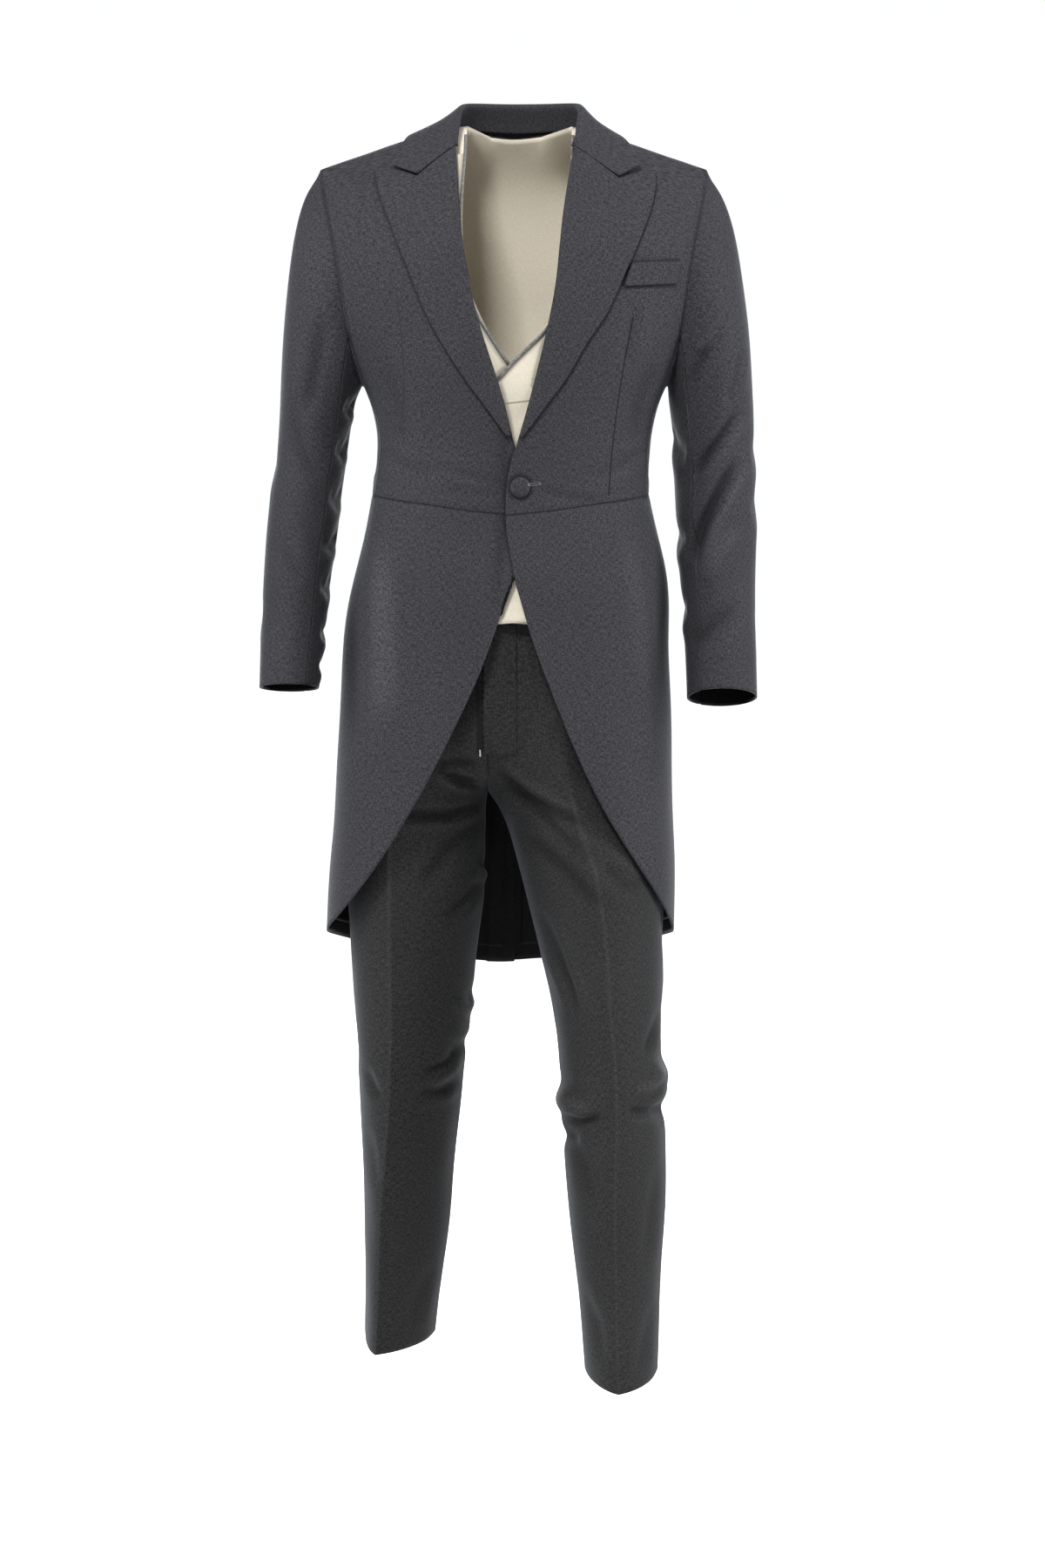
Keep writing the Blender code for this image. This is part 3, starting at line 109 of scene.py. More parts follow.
# %% Camera
PICTURE_HEIGHT = 1800
FOCAL_PIXELS = 4230
SENSOR = 36.0
CAMERA_PLACE = (0.010, -4.2, -0.285)
LOOK_DOWN = math.atan2(450, 4200)

camera_data = bpy.data.cameras.new("studio_camera")
camera_data.sensor_fit = "VERTICAL"
camera_data.sensor_height = SENSOR
camera_data.lens = FOCAL_PIXELS * SENSOR / PICTURE_HEIGHT
camera = place_object("studio_camera", camera_data)
camera.location = CAMERA_PLACE
camera.rotation_euler = (math.radians(90) - LOOK_DOWN, 0, 0)
bpy.context.scene.camera = camera
print("lens:", round(camera_data.lens, 1), "mm")

# %% [markdown]
# ## Studio
#
# A pale floor and a white backdrop give the setting. The camera sees the backdrop and the floor
# brighter than they light the suit, so that the lamps can bring out the folds: a main one high in
# front, and two tall soft ones at the sides. A broad one behind, in the place of the lit backdrop,
# gives the sleeves and the outline their pale edges.

# %% Floor, sky and lamps
FLOOR_DROP, FLOOR_REACH, FLOOR_GLOW = 1.52, 14, 0.85
SKY_SHOWN, SKY_LIGHT = 1.02, 0.28
LAMP_AIM = Vector((0, 0, -0.6))
# Each lamp's name, its place and its width and height in metres, and its power in watts.
LAMPS = (
    ("left_lamp", (-2.4, -0.7, 0.5), 0.8, 2.8, 40),
    ("right_lamp", (2.4, -0.5, 0.5), 0.8, 2.8, 60),
    ("top_lamp", (-0.7, -2.7, 2.5), 0.8, 0.8, 115),
    ("back_lamp", (0, 2.8, -0.3), 3.6, 2.8, 120),
)


def add_lamp(name, place, width, height, power):
    data = bpy.data.lights.new(name, "AREA")
    data.shape = "RECTANGLE"
    data.size, data.size_y = width, height
    data.energy = power
    lamp = place_object(name, data)
    lamp.location = place
    lamp.rotation_euler = (LAMP_AIM - Vector(place)).to_track_quat("-Z", "Y").to_euler()


floor_mesh = bmesh.new()
bmesh.ops.create_grid(floor_mesh, x_segments=1, y_segments=1, size=FLOOR_REACH)
bmesh.ops.translate(floor_mesh, verts=floor_mesh.verts, vec=(0, 0, -FLOOR_DROP))
floor = place_object("floor", mesh_from(floor_mesh, "floor"))

pale = bpy.data.materials.new("pale_floor")
pale.use_nodes = True
pale_shader = pale.node_tree.nodes["Principled BSDF"]
pale_shader.inputs["Base Color"].default_value = (0.85, 0.85, 0.86, 1)
pale_shader.inputs["Roughness"].default_value = 1.0
pale_shader.inputs["Specular IOR Level"].default_value = 0.0
pale_shader.inputs["Emission Strength"].default_value = FLOOR_GLOW
seen = pale.node_tree.nodes.new("ShaderNodeLightPath")
pale.node_tree.links.new(seen.outputs["Is Camera Ray"], pale_shader.inputs["Emission Color"])
floor.data.materials.append(pale)

sky = bpy.data.worlds.new("studio")
sky.use_nodes = True
backdrop = sky.node_tree.nodes["Background"]
backdrop.inputs["Color"].default_value = (0.98, 0.99, 1.0, 1)
ray = sky.node_tree.nodes.new("ShaderNodeLightPath")
level = sky.node_tree.nodes.new("ShaderNodeMapRange")
level.inputs["To Min"].default_value = SKY_LIGHT
level.inputs["To Max"].default_value = SKY_SHOWN
sky.node_tree.links.new(ray.outputs["Is Camera Ray"], level.inputs["Value"])
sky.node_tree.links.new(level.outputs["Result"], backdrop.inputs["Strength"])
bpy.context.scene.world = sky
bpy.context.scene.view_settings.view_transform = "Standard"

for lamp_facts in LAMPS:
    add_lamp(*lamp_facts)

# %% [markdown]
# ## Wiring materials
#
# Shader nodes are wired with small helpers: one sends a value or another node's result into a
# socket, one adds a node, and others do sums, soft steps and blends, or make and use groups.

# %% Helpers for nodes


def put(tree, socket, value):
    """Feeds a socket with another socket's result, or with a plain value."""
    if isinstance(value, bpy.types.NodeSocket):
        tree.links.new(value, socket)
    else:
        socket.default_value = value


def add_node(tree, kind, inputs=None, **settings):
    made = tree.nodes.new(kind)
    for name, value in settings.items():
        setattr(made, name, value)
    for name, value in (inputs or {}).items():
        put(tree, made.inputs[name], value)
    return made


def calculate(tree, operation, *values):
    made = add_node(tree, "ShaderNodeMath", operation=operation)
    for number, value in enumerate(values):
        put(tree, made.inputs[number], value)
    return made.outputs[0]


def between(tree, value, low, high):
    """0 below low and 1 above high, with a soft step between. High may be the smaller one."""
    inputs = {"Value": value, "From Min": low, "From Max": high}
    return add_node(tree, "ShaderNodeMapRange", inputs, interpolation_type="SMOOTHSTEP").outputs["Result"]


def blend_colours(tree, share, first, second, way="MIX"):
    # The node's socket names repeat, so its share, its two colours and its result are numbered.
    made = add_node(tree, "ShaderNodeMix", data_type="RGBA", blend_type=way)
    put(tree, made.inputs[0], share)
    put(tree, made.inputs[6], first)
    put(tree, made.inputs[7], second)
    return made.outputs[2]


def new_group(name, inputs, outputs):
    """An empty node group with named sockets, and its two end nodes."""
    group = bpy.data.node_groups.new(name, "ShaderNodeTree")
    for label, kind, value in inputs:
        socket = group.interface.new_socket(label, in_out="INPUT", socket_type=kind)
        socket.default_value = value
    for label, kind in outputs:
        group.interface.new_socket(label, in_out="OUTPUT", socket_type=kind)
    return group, group.nodes.new("NodeGroupInput"), group.nodes.new("NodeGroupOutput")


def use_group(tree, group, **values):
    made = add_node(tree, "ShaderNodeGroup", node_tree=group)
    for name, value in values.items():
        put(tree, made.inputs[name.replace("_", " ")], value)
    return made


print("helpers ready")

# %% [markdown]
# ## The weave
#
# Worsted is woven from fine dark and pale grey yarns. Close to, each yarn shows as a short fleck
# along its own direction, and from afar the flecks blur to a mottled grey. Two stretched noises
# on the cloth's own map, one for each direction, give the flecks, and a fine slanted ripple the
# twill. The map is in metres, so the flecks keep their size on every piece.

# %% Weave group
COLOUR, NUMBER, ARROW = "NodeSocketColor", "NodeSocketFloat", "NodeSocketVector"
GREY = (0.1, 0.1, 0.1, 1)
FLECK_STRETCH, FLECKS_FROM, FLECKS_TO = 0.22, 0.75, 1.25
YARNS_APART, TWILL_RELIEF = 3.0, 0.25

weave, weave_in, weave_out = new_group(
    "woven cloth",
    [
        ("Dark", COLOUR, (0.02, 0.02, 0.02, 1)),
        ("Light", COLOUR, GREY),
        ("Flecks per metre", NUMBER, 900.0),
        ("Twill per metre", NUMBER, 700.0),
    ],
    [("Color", COLOUR), ("Height", NUMBER)],
)
cloth_place = add_node(weave, "ShaderNodeUVMap", uv_map="cloth")
split = add_node(weave, "ShaderNodeSeparateXYZ", {"Vector": cloth_place.outputs[0]})
across, along = split.outputs["X"], split.outputs["Y"]
fleck_count, twill_count = weave_in.outputs["Flecks per metre"], weave_in.outputs["Twill per metre"]
yarns = []
for stretch_across, stretch_along in ((1.0, FLECK_STRETCH), (FLECK_STRETCH, 1.0)):
    spread_x = calculate(weave, "MULTIPLY", across, stretch_across)
    spread_y = calculate(weave, "MULTIPLY", along, stretch_along)
    spread = add_node(weave, "ShaderNodeCombineXYZ", {"X": spread_x, "Y": spread_y})
    spread.inputs["Z"].default_value = YARNS_APART * stretch_across
    noise_inputs = {"Vector": spread.outputs[0], "Scale": fleck_count, "Detail": 1.0}
    noise = add_node(weave, "ShaderNodeTexNoise", noise_inputs)
    yarns.append(noise.outputs["Fac"])
flecks = between(weave, calculate(weave, "ADD", *yarns), FLECKS_FROM, FLECKS_TO)
slant = calculate(weave, "MULTIPLY", calculate(weave, "ADD", across, along), twill_count)
twill = calculate(weave, "SINE", calculate(weave, "MULTIPLY", slant, 2 * math.pi))
weave_colour = blend_colours(weave, flecks, weave_in.outputs["Dark"], weave_in.outputs["Light"])
put(weave, weave_out.inputs["Color"], weave_colour)
put(weave, weave_out.inputs["Height"], calculate(weave, "MULTIPLY_ADD", twill, TWILL_RELIEF, flecks))
print("weave:", len(weave.nodes), "nodes")

# %% [markdown]
# ## Edges, seams, painted shade and slow changes of tone
#
# At a seam the cloth dips into the join, and painted shade darkens it there; beside an edge that
# lies on it, such as a lapel's, the cloth gets a painted shadow. A pressed crease gets a thin
# painted highlight, a trough of a fold painted shade and its crest a painted highlight. Each piece
# carries five measures for this: the distance to its own edge in mm, whether that edge is sewn,
# the distance to an edge that lies on it, how near a pressed crease is, and the lift of the folds
# in mm. A slow noise stands for the small differences in tone that handling and pressing leave.

# %% Edge group and tone group
SEAM_LINE, SEAM_DARK = (1.2, 0.2), 0.45
LAID_SHADE, PAINTED_SHADOW_DARKNESS = (6.0, 0.5), 0.5
TROUGH, TROUGH_PAINTED_SHADE = (-0.3, -6.0), -0.50
CREST, CREST_PAINTED_HIGHLIGHT = (0.3, 4.0), 0.40
CREASE_LINE, CREASE_HIGHLIGHT_COLOUR = (0.80, 1.0), (0.5, 0.5, 0.52, 1)

edge_tones, edge_in, edge_out = new_group(
    "cloth edges and painted shade", [("Color", COLOUR, GREY), ("Crease light", NUMBER, 0.05)], [("Color", COLOUR)]
)
edge_math, edge_step = partial(calculate, edge_tones), partial(between, edge_tones)


def measure(name):
    return add_node(edge_tones, "ShaderNodeAttribute", attribute_name=name).outputs["Fac"]


def as_grey(tree, value):
    inputs = {"Red": value, "Green": value, "Blue": value}
    return add_node(tree, "ShaderNodeCombineColor", inputs).outputs[0]


# Painted shade along sewn seams, and a painted shadow beside an edge that lies on the cloth.
seam_shade = edge_math("MULTIPLY", edge_step(measure("edge_mm"), *SEAM_LINE), measure("sewn"))
seam_shade = edge_math("MULTIPLY", seam_shade, SEAM_DARK)
painted_edge_shadow = edge_math("MULTIPLY", edge_step(measure("laid_mm"), *LAID_SHADE), PAINTED_SHADOW_DARKNESS)
shade = edge_math("MAXIMUM", seam_shade, painted_edge_shadow)
# A thin painted highlight along a pressed crease.
crease_shine = edge_step(measure("press"), *CREASE_LINE)
crease_shine = edge_math("MULTIPLY", crease_shine, edge_in.outputs["Crease light"])
# Painted shade in the troughs of the folds and a painted highlight on their crests, from the lift in fold_mm.
fold_lift = measure("fold_mm")
trough = edge_math("MULTIPLY", edge_step(fold_lift, *TROUGH), TROUGH_PAINTED_SHADE)
painted_fold_shading = edge_math("MULTIPLY_ADD", edge_step(fold_lift, *CREST), CREST_PAINTED_HIGHLIGHT, trough)
painted_fold_shading = edge_math("ADD", painted_fold_shading, 1.0)
folded = blend_colours(edge_tones, 1.0, edge_in.outputs["Color"], as_grey(edge_tones, painted_fold_shading), "MULTIPLY")
painted_seam_and_edge_shade = blend_colours(edge_tones, shade, folded, (0, 0, 0, 1))
lit_crease = blend_colours(edge_tones, crease_shine, painted_seam_and_edge_shade, CREASE_HIGHLIGHT_COLOUR, "SCREEN")
put(edge_tones, edge_out.inputs["Color"], lit_crease)

slow_tone, tone_in, tone_out = new_group(
    "slow tone", [("Color", COLOUR, GREY), ("Change", NUMBER, 0.2)], [("Color", COLOUR)]
)
tone_place = add_node(slow_tone, "ShaderNodeTexCoord").outputs["Object"]
tone_noise = add_node(slow_tone, "ShaderNodeTexNoise", {"Vector": tone_place, "Scale": 9.0, "Detail": 3.0})
swing = calculate(slow_tone, "SUBTRACT", tone_noise.outputs["Fac"], 0.5)
swing = calculate(slow_tone, "MULTIPLY_ADD", swing, tone_in.outputs["Change"], 1.0)
toned = blend_colours(slow_tone, 1.0, tone_in.outputs["Color"], as_grey(slow_tone, swing), "MULTIPLY")
put(slow_tone, tone_out.inputs["Color"], toned)
print("edge and tone groups ready")

# %% [markdown]
# ## Sewn lines
#
# A dart, a buttonhole or a row of stitches is a thin line on one piece of cloth, and so is the
# painted shadow beside the fly's edge. The group measures how far a point is from a line between
# two places, seen from the front, with an optional bend. Each material that needs sewing places it
# once per line.

# %% Sewn line group
sewn_line, line_in, line_out = new_group(
    "sewn line",
    [
        ("From", ARROW, (0, 0, 0)),
        ("To", ARROW, (0, 0, 1)),
        ("Bend", NUMBER, 0.0),
        ("Half width", NUMBER, 0.0008),
    ],
    [("Mask", NUMBER)],
)


def arrows(tree, operation, first, second, result=0):
    made = add_node(tree, "ShaderNodeVectorMath", operation=operation)
    put(tree, made.inputs[0], first)
    put(tree, made.inputs[1], second)
    return made.outputs[result]


LINE_SOFTNESS = 0.6
line_math, line_arrows = partial(calculate, sewn_line), partial(arrows, sewn_line)
line_place = add_node(sewn_line, "ShaderNodeTexCoord").outputs["Object"]
on_front = line_arrows("MULTIPLY", line_place, (1, 0, 1))
from_start = line_arrows("SUBTRACT", on_front, line_in.outputs["From"])
whole = line_arrows("SUBTRACT", line_in.outputs["To"], line_in.outputs["From"])
walked = line_arrows("DOT_PRODUCT", from_start, whole, "Value")
share = line_math("DIVIDE", walked, line_arrows("DOT_PRODUCT", whole, whole, "Value"))
share.node.use_clamp = True
# The bend is a parabola that is 0 at both ends and 1 in the middle.
hump = line_math("MULTIPLY", share, line_math("SUBTRACT", 1.0, share))
hump = line_math("MULTIPLY", line_math("MULTIPLY", hump, 4.0), line_in.outputs["Bend"])
bent = add_node(sewn_line, "ShaderNodeCombineXYZ", {"X": hump}).outputs[0]
reach = add_node(sewn_line, "ShaderNodeVectorMath", {0: whole, "Scale": share}, operation="SCALE")
off_line = line_arrows("SUBTRACT", from_start, reach.outputs[0])
off_line = line_arrows("SUBTRACT", off_line, bent)
gap = add_node(sewn_line, "ShaderNodeVectorMath", {0: off_line}, operation="LENGTH").outputs["Value"]
closeness = line_math("SUBTRACT", 1.0, line_math("DIVIDE", gap, line_in.outputs["Half width"]))
closeness.node.use_clamp = True
depth = add_node(sewn_line, "ShaderNodeSeparateXYZ", {"Vector": line_place}).outputs["Y"]
facing_front = line_math("LESS_THAN", depth, 0.0)
line_mask = line_math("MULTIPLY", between(sewn_line, closeness, 0.0, LINE_SOFTNESS), facing_front)
put(sewn_line, line_out.inputs["Mask"], line_mask)
print("sewn line group ready")

# %% [markdown]
# ## The cloths
#
# The coat's worsted is a mottled charcoal, the trousers' a shade darker, the waistcoat a smooth
# cream wool. Wool has a fine nap that glows at its edges, which the shader's sheen gives. The
# sheen is set on the shader itself, as one value for the whole cloth.

# %% Materials
YARN_HEIGHT, NAP_ROUGHNESS = 0.4 * MM, 0.3


def cloth_material(name, dark, light, flecks_per_metre, finish, lines=()):
    """A woven cloth. finish holds the shader's plain values, lines the sewing and the painted shadow by the
    fly drawn on it.
    """
    material = bpy.data.materials.new(name)
    material.use_nodes = True
    tree = material.node_tree
    shader = tree.nodes["Principled BSDF"]
    threads = use_group(tree, weave, Dark=(*dark, 1), Light=(*light, 1), Flecks_per_metre=flecks_per_metre)
    toned = use_group(tree, slow_tone, Color=threads.outputs["Color"], Change=finish["change"])
    edged = use_group(tree, edge_tones, Color=toned.outputs["Color"], Crease_light=finish["crease"])
    colour = edged.outputs["Color"]
    for start, end, bend, width, tint in lines:
        line_start, line_end = (start[0] * MM, 0, start[1] * MM), (end[0] * MM, 0, end[1] * MM)
        line = use_group(tree, sewn_line, From=line_start, To=line_end, Bend=bend * MM, Half_width=width * MM)
        colour = blend_colours(tree, line.outputs["Mask"], colour, (*tint, 1))
    put(tree, shader.inputs["Base Color"], colour)
    bump_inputs = {"Height": threads.outputs["Height"], "Strength": finish["bump"], "Distance": YARN_HEIGHT}
    bump = add_node(tree, "ShaderNodeBump", bump_inputs)
    put(tree, shader.inputs["Normal"], bump.outputs["Normal"])
    shader.inputs["Roughness"].default_value = finish["roughness"]
    shader.inputs["Specular IOR Level"].default_value = finish["specular"]
    shader.inputs["Sheen Weight"].default_value = finish["sheen"]
    shader.inputs["Sheen Roughness"].default_value = NAP_ROUGHNESS
    shader.inputs["Sheen Tint"].default_value = (*finish["sheen_tint"], 1)
    return material


WORSTED = {
    "change": 0.35, "crease": 0.0, "bump": 0.2, "roughness": 0.75, "specular": 0.18,
    "sheen": 0.12, "sheen_tint": (0.82, 0.90, 1.0),
}
TROUSERING = dict(WORSTED, crease=0.022)
WAISTCOATING = dict(WORSTED, change=0.08, sheen=0.1, sheen_tint=(1.0, 0.97, 0.9))
SATIN = dict(WORSTED, change=0.3, bump=0.1, roughness=0.5, specular=0.12, sheen=0.0)
CORD = dict(WORSTED, change=0.2, bump=0.8)

THREAD_BLACK, DART_AND_FLY_SHADOW_DARK = (0.004, 0.004, 0.005), (0.010, 0.010, 0.012)
THREAD_DIM, THREAD_GREY = (0.028, 0.028, 0.031), (0.16, 0.16, 0.17)
THREAD_WHITE, THREAD_SAND = (0.75, 0.75, 0.72), (0.36, 0.30, 0.20)
# Each line's two ends (x, z), its bend and half its width, all in mm, and its colour: a
# thread's, except in the first trouser line, which is painted shadow beside the fly's edge.
COAT_LINES = (
    ((132, -207), (106, -402), -4.0, 1.3, DART_AND_FLY_SHADOW_DARK),
    ((-128, -189), (-122, -307), 3.0, 1.2, THREAD_DIM),
    ((17.5, -389.7), (29, -388.7), 0.0, 1.9, THREAD_GREY),
    ((18.5, -389.6), (28, -388.8), 0.0, 0.9, THREAD_BLACK),
)
TROUSER_LINES = (
    # Painted shadow in a strip beside the fly's free edge.
    ((-41.0, -560), (-38.5, -690), 0.0, 3.6, DART_AND_FLY_SHADOW_DARK),
    ((-37.6, -687), (-37.4, -694), 0.0, 0.9, THREAD_WHITE),
)
WAISTCOAT_LINES = (((-10, -301), (24, -297), 0.0, 1.1, THREAD_SAND),)
charcoal = cloth_material(
    "charcoal_worsted_cloth", (0.019, 0.019, 0.022), (0.058, 0.057, 0.064), 1100, WORSTED, COAT_LINES
)
trousering = cloth_material(
    "trouser_worsted_cloth", (0.012, 0.012, 0.012), (0.036, 0.036, 0.037), 1100, TROUSERING, TROUSER_LINES
)
cream = cloth_material(
    "cream_waistcoat_cloth", (0.83, 0.76, 0.61), (0.90, 0.83, 0.69), 900, WAISTCOATING, WAISTCOAT_LINES
)
lining = cloth_material("black_satin_lining", (0.0035, 0.0035, 0.0035), (0.008, 0.008, 0.008), 1200, SATIN)
piping_cord = cloth_material("grey_cord_piping", (0.14, 0.135, 0.13), (0.30, 0.29, 0.28), 900, CORD)
print("materials:", [m.name for m in bpy.data.materials if m.users])

# %% [markdown]
# ## The cut pieces
#
# Each row gives a piece's wall, how often its mesh is subdivided, the size it is cut to, and how
# it is held. Sizes are of the cloth that shows, in mm, and areas in square metres.

# %% Table of pieces
COAT_CLOTHS, TURNED_CLOTHS, LINING_CLOTHS = (charcoal, lining), (charcoal, charcoal), (lining, lining)
TROUSER_CLOTHS, WAISTCOAT_CLOTHS = (trousering, trousering), (cream, cream)
CORD_CLOTHS = (piping_cord, piping_cord)
COAT_SLOT, CREAM_SLOT, TROUSER_SLOT = "charcoal_worsted", "cream_cloth", "trouser_worsted"
COAT_WALL = ("coat", 2.0, 3, COAT_CLOTHS, COAT_SLOT)
SLEEVE_WALL = ("sleeve_*", 2.0, 3, COAT_CLOTHS, COAT_SLOT)
LEG_WALL = ("trousers_*", 1.5, 3, TROUSER_CLOTHS, TROUSER_SLOT)
WAISTCOAT_WALL = ("waistcoat", 1.5, 3, WAISTCOAT_CLOTHS, CREAM_SLOT)

# The piece, its wall (garment, thickness, subdivisions, cloths, slot), its flat size, its area
# on the left and on the right, how it is held, and what it rests on. A star stands for the side.
SIDED_CUTS = (
    ("coat_front_*", COAT_WALL, (245, 430), (0.077, 0.078), "hung", "waistcoat_front_*"),
    ("coat_side_*", COAT_WALL, (150, 190), (0.0249, 0.0249), "hung", "coat_front_* coat_back_*"),
    ("coat_back_*", COAT_WALL, (180, 980), (0.116, 0.116), "hung", "waistcoat_back"),
    ("coat_skirt_*", COAT_WALL, (400, 580), (0.193, 0.199), "hung", "coat_front_*"),
    (
        "coat_lapel_*", ("coat", 2.2, 3, TURNED_CLOTHS, COAT_SLOT), (110, 340), (0.0206, 0.0188),
        "folded", "coat_front_*",
    ),
    ("sleeve_top_*", SLEEVE_WALL, (240, 630), (0.128, 0.119), "hung", "coat_front_*"),
    ("sleeve_under_*", SLEEVE_WALL, (100, 450), (0.0406, 0.0393), "hung", "sleeve_top_*"),
    (
        "tail_lining_*", ("coat", 1.0, 3, LINING_CLOTHS, "black_lining"), (240, 360), (0.068, 0.075),
        "hung", "coat_back_*",
    ),
    ("waistcoat_front_*", WAISTCOAT_WALL, (250, 570), (0.108, 0.108), "hung", "waistcoat_back"),
    ("trouser_front_*", LEG_WALL, (280, 965), (0.246, 0.234), "hung", "trouser_waistband"),
    ("trouser_back_*", LEG_WALL, (280, 960), (0.2445, 0.232), "hung", "trouser_waistband"),
    (
        "waistcoat_piping_*", ("waistcoat", 1.2, 2, CORD_CLOTHS, "grey_piping"), (10, 335),
        (0.0013, 0.0013), "folded", "waistcoat_front_*",
    ),
)
SINGLE_CUTS = (
    (
        "coat_collar", ("coat", 2.0, 3, TURNED_CLOTHS, COAT_SLOT), (100, 400), 0.034,
        "folded", "coat_back_left coat_back_right",
    ),
    (
        "breast_welt", ("coat", 1.5, 3, TURNED_CLOTHS, COAT_SLOT), (28, 62), 0.0016,
        "folded", "coat_front_left",
    ),
    ("waistcoat_back", WAISTCOAT_WALL, (400, 550), 0.1965, "hung", "trouser_waistband"),
    (
        "trouser_waistband", ("waistband", 1.5, 2, TROUSER_CLOTHS, TROUSER_SLOT), (38, 800), 0.0297,
        "hung", "waistcoat_back",
    ),
    (
        "trouser_fly", ("trousers_right", 1.4, 3, TROUSER_CLOTHS, TROUSER_SLOT), (38, 256), 0.0097,
        "folded", "trouser_front_right",
    ),
)
pieces = {}


def add_cut(piece, wall_facts, flat, area, held, rests_on, side=""):
    garment, wall, levels, cloths, slot = wall_facts
    pieces[piece.replace("*", side)] = {
        "garment": garment.replace("*", side), "wall": wall * MM, "levels": levels,
        "outside": cloths[0], "inside": cloths[1], "slot": slot, "flat": (flat[0] * MM, flat[1] * MM),
        "area": area, "held": held, "rests_on": rests_on.replace("*", side).split(),
    }


for number, side in enumerate(SIDES):
    for piece, wall_facts, flat, areas, held, rests_on in SIDED_CUTS:
        add_cut(piece, wall_facts, flat, areas[number], held, rests_on, side)
for single_cut in SINGLE_CUTS:
    add_cut(*single_cut)
print("cut pieces:", len(pieces))

# %% [markdown]
# ## The outer face of a solid
#
# A piece's solid is a thin closed wall. Its outer face alone is the sheet that gets folded: the
# narrow rim is known by edges as long as the wall is thick, and of the two faces left, the outer
# one is the larger. Pairs of triangles are joined again to the even four-sided net they came
# from, which subdivides smoothly.

# %% Outer sheets
WELD_REACH, RIM_TOLERANCE = 0.02 * MM, 0.1 * MM
FLAT_TURN = math.radians(25)
NET_TURN, NET_SKEW = math.radians(60), math.radians(180)
# Where both faces are about as large, the outer one is known by the way it looks.
OUTWARD = {"trouser_fly": (0, -1, 0), "tail_lining_left": (0, 1, 0), "tail_lining_right": (0, 1, 0)}


def connected_faces(mesh):
    """The groups of faces that hang together, the largest area first."""
    groups, seen = [], set()
    for face in mesh.faces:
        if face in seen:
            continue
        seen.add(face)
        group, waiting = [face], [face]
        while waiting:
            for edge in waiting.pop().edges:
                for neighbour in edge.link_faces:
                    if neighbour not in seen:
                        seen.add(neighbour)
                        group.append(neighbour)
                        waiting.append(neighbour)
        groups.append(group)
    return sorted(groups, key=lambda group: -sum(face.calc_area() for face in group))


def runs_on_flat(face, narrow):
    """Whether a narrow face goes on without a turn into a broad one, so that it isn't the rim."""
    for edge in face.edges:
        broad = any(other not in narrow for other in edge.link_faces)
        if broad and edge.calc_face_angle(math.pi) < FLAT_TURN:
            return True
    return False


def outer_sheet(name, wall):
    mesh = bmesh.new()
    mesh.from_mesh(frame["nodes"][name].data)
    bmesh.ops.remove_doubles(mesh, verts=mesh.verts, dist=WELD_REACH)
    mesh.normal_update()
    narrow = {
        face for face in mesh.faces
        if min(abs(edge.calc_length() - wall) for edge in face.edges) < RIM_TOLERANCE
    }
    rim = [face for face in narrow if not runs_on_flat(face, narrow)]
    bmesh.ops.delete(mesh, geom=rim, context="FACES")
    groups = connected_faces(mesh)
    if name in OUTWARD:
        outward = Vector(OUTWARD[name])
        groups.sort(key=lambda group: -sum(face.normal.dot(outward) * face.calc_area() for face in group))
    for group in groups[1:]:
        bmesh.ops.delete(mesh, geom=group, context="FACES")
    bmesh.ops.join_triangles(
        mesh, faces=mesh.faces, angle_face_threshold=NET_TURN,
        angle_shape_threshold=NET_SKEW, topology_influence=1.0,
    )
    return mesh


sheets = {name: outer_sheet(name, facts["wall"]) for name, facts in pieces.items()}
print("sheets:", {name: len(mesh.faces) for name, mesh in sheets.items()})

# %% [markdown]
# ## Sewn edges, corners and pressed creases
#
# An edge point is sewn where one of another piece's lies within a millimetre and a half. Corners
# of a piece stay sharp when it is subdivided. A trouser crease is one line of edges from the waist
# to the hem. It is followed straight on from its place at the waist, and sharpens from the hip down.

# %% Marks on the sheets
SEWN_REACH = 1.5 * MM
CORNER_TURN = math.radians(33)
CREASE_TOPS = {
    "trouser_front_right": (-85, -88, -435), "trouser_front_left": (78, -88, -435),
    "trouser_back_right": (-78, 75, -435), "trouser_back_left": (72, 75, -435),
}
CREASE_STARTS, CREASE_FULL, CREASE_SHARPNESS = -480 * MM, -760 * MM, 0.95


def edge_vertices(mesh):
    return [vertex for vertex in mesh.verts if vertex.is_boundary]


def place_tree(places):
    tree = KDTree(len(places))
    for index, place in enumerate(places):
        tree.insert(place, index)
    tree.balance()
    return tree


def mark_sewn(name, mesh, places, owners):
    layer = mesh.verts.layers.float.new("sewn")
    for vertex in edge_vertices(mesh):
        near = places.find_range(vertex.co, SEWN_REACH)
        vertex[layer] = float(any(owners[index] != name for _place, index, _gap in near))


def mark_corners(mesh):
    layer = mesh.verts.layers.float.new("crease_vert")
    for vertex in edge_vertices(mesh):
        ends = [edge.other_vert(vertex).co - vertex.co for edge in vertex.link_edges if edge.is_boundary]
        if len(ends) == 2 and math.pi - ends[0].angle(ends[1]) > CORNER_TURN:
            vertex[layer] = 1.0


def straight_on(vertex, edge):
    """The next edge of the same line, which shares no face with this one."""
    around = set(edge.link_faces)
    for following in vertex.link_edges:
        if following != edge and not around & set(following.link_faces):
            return following
    return None


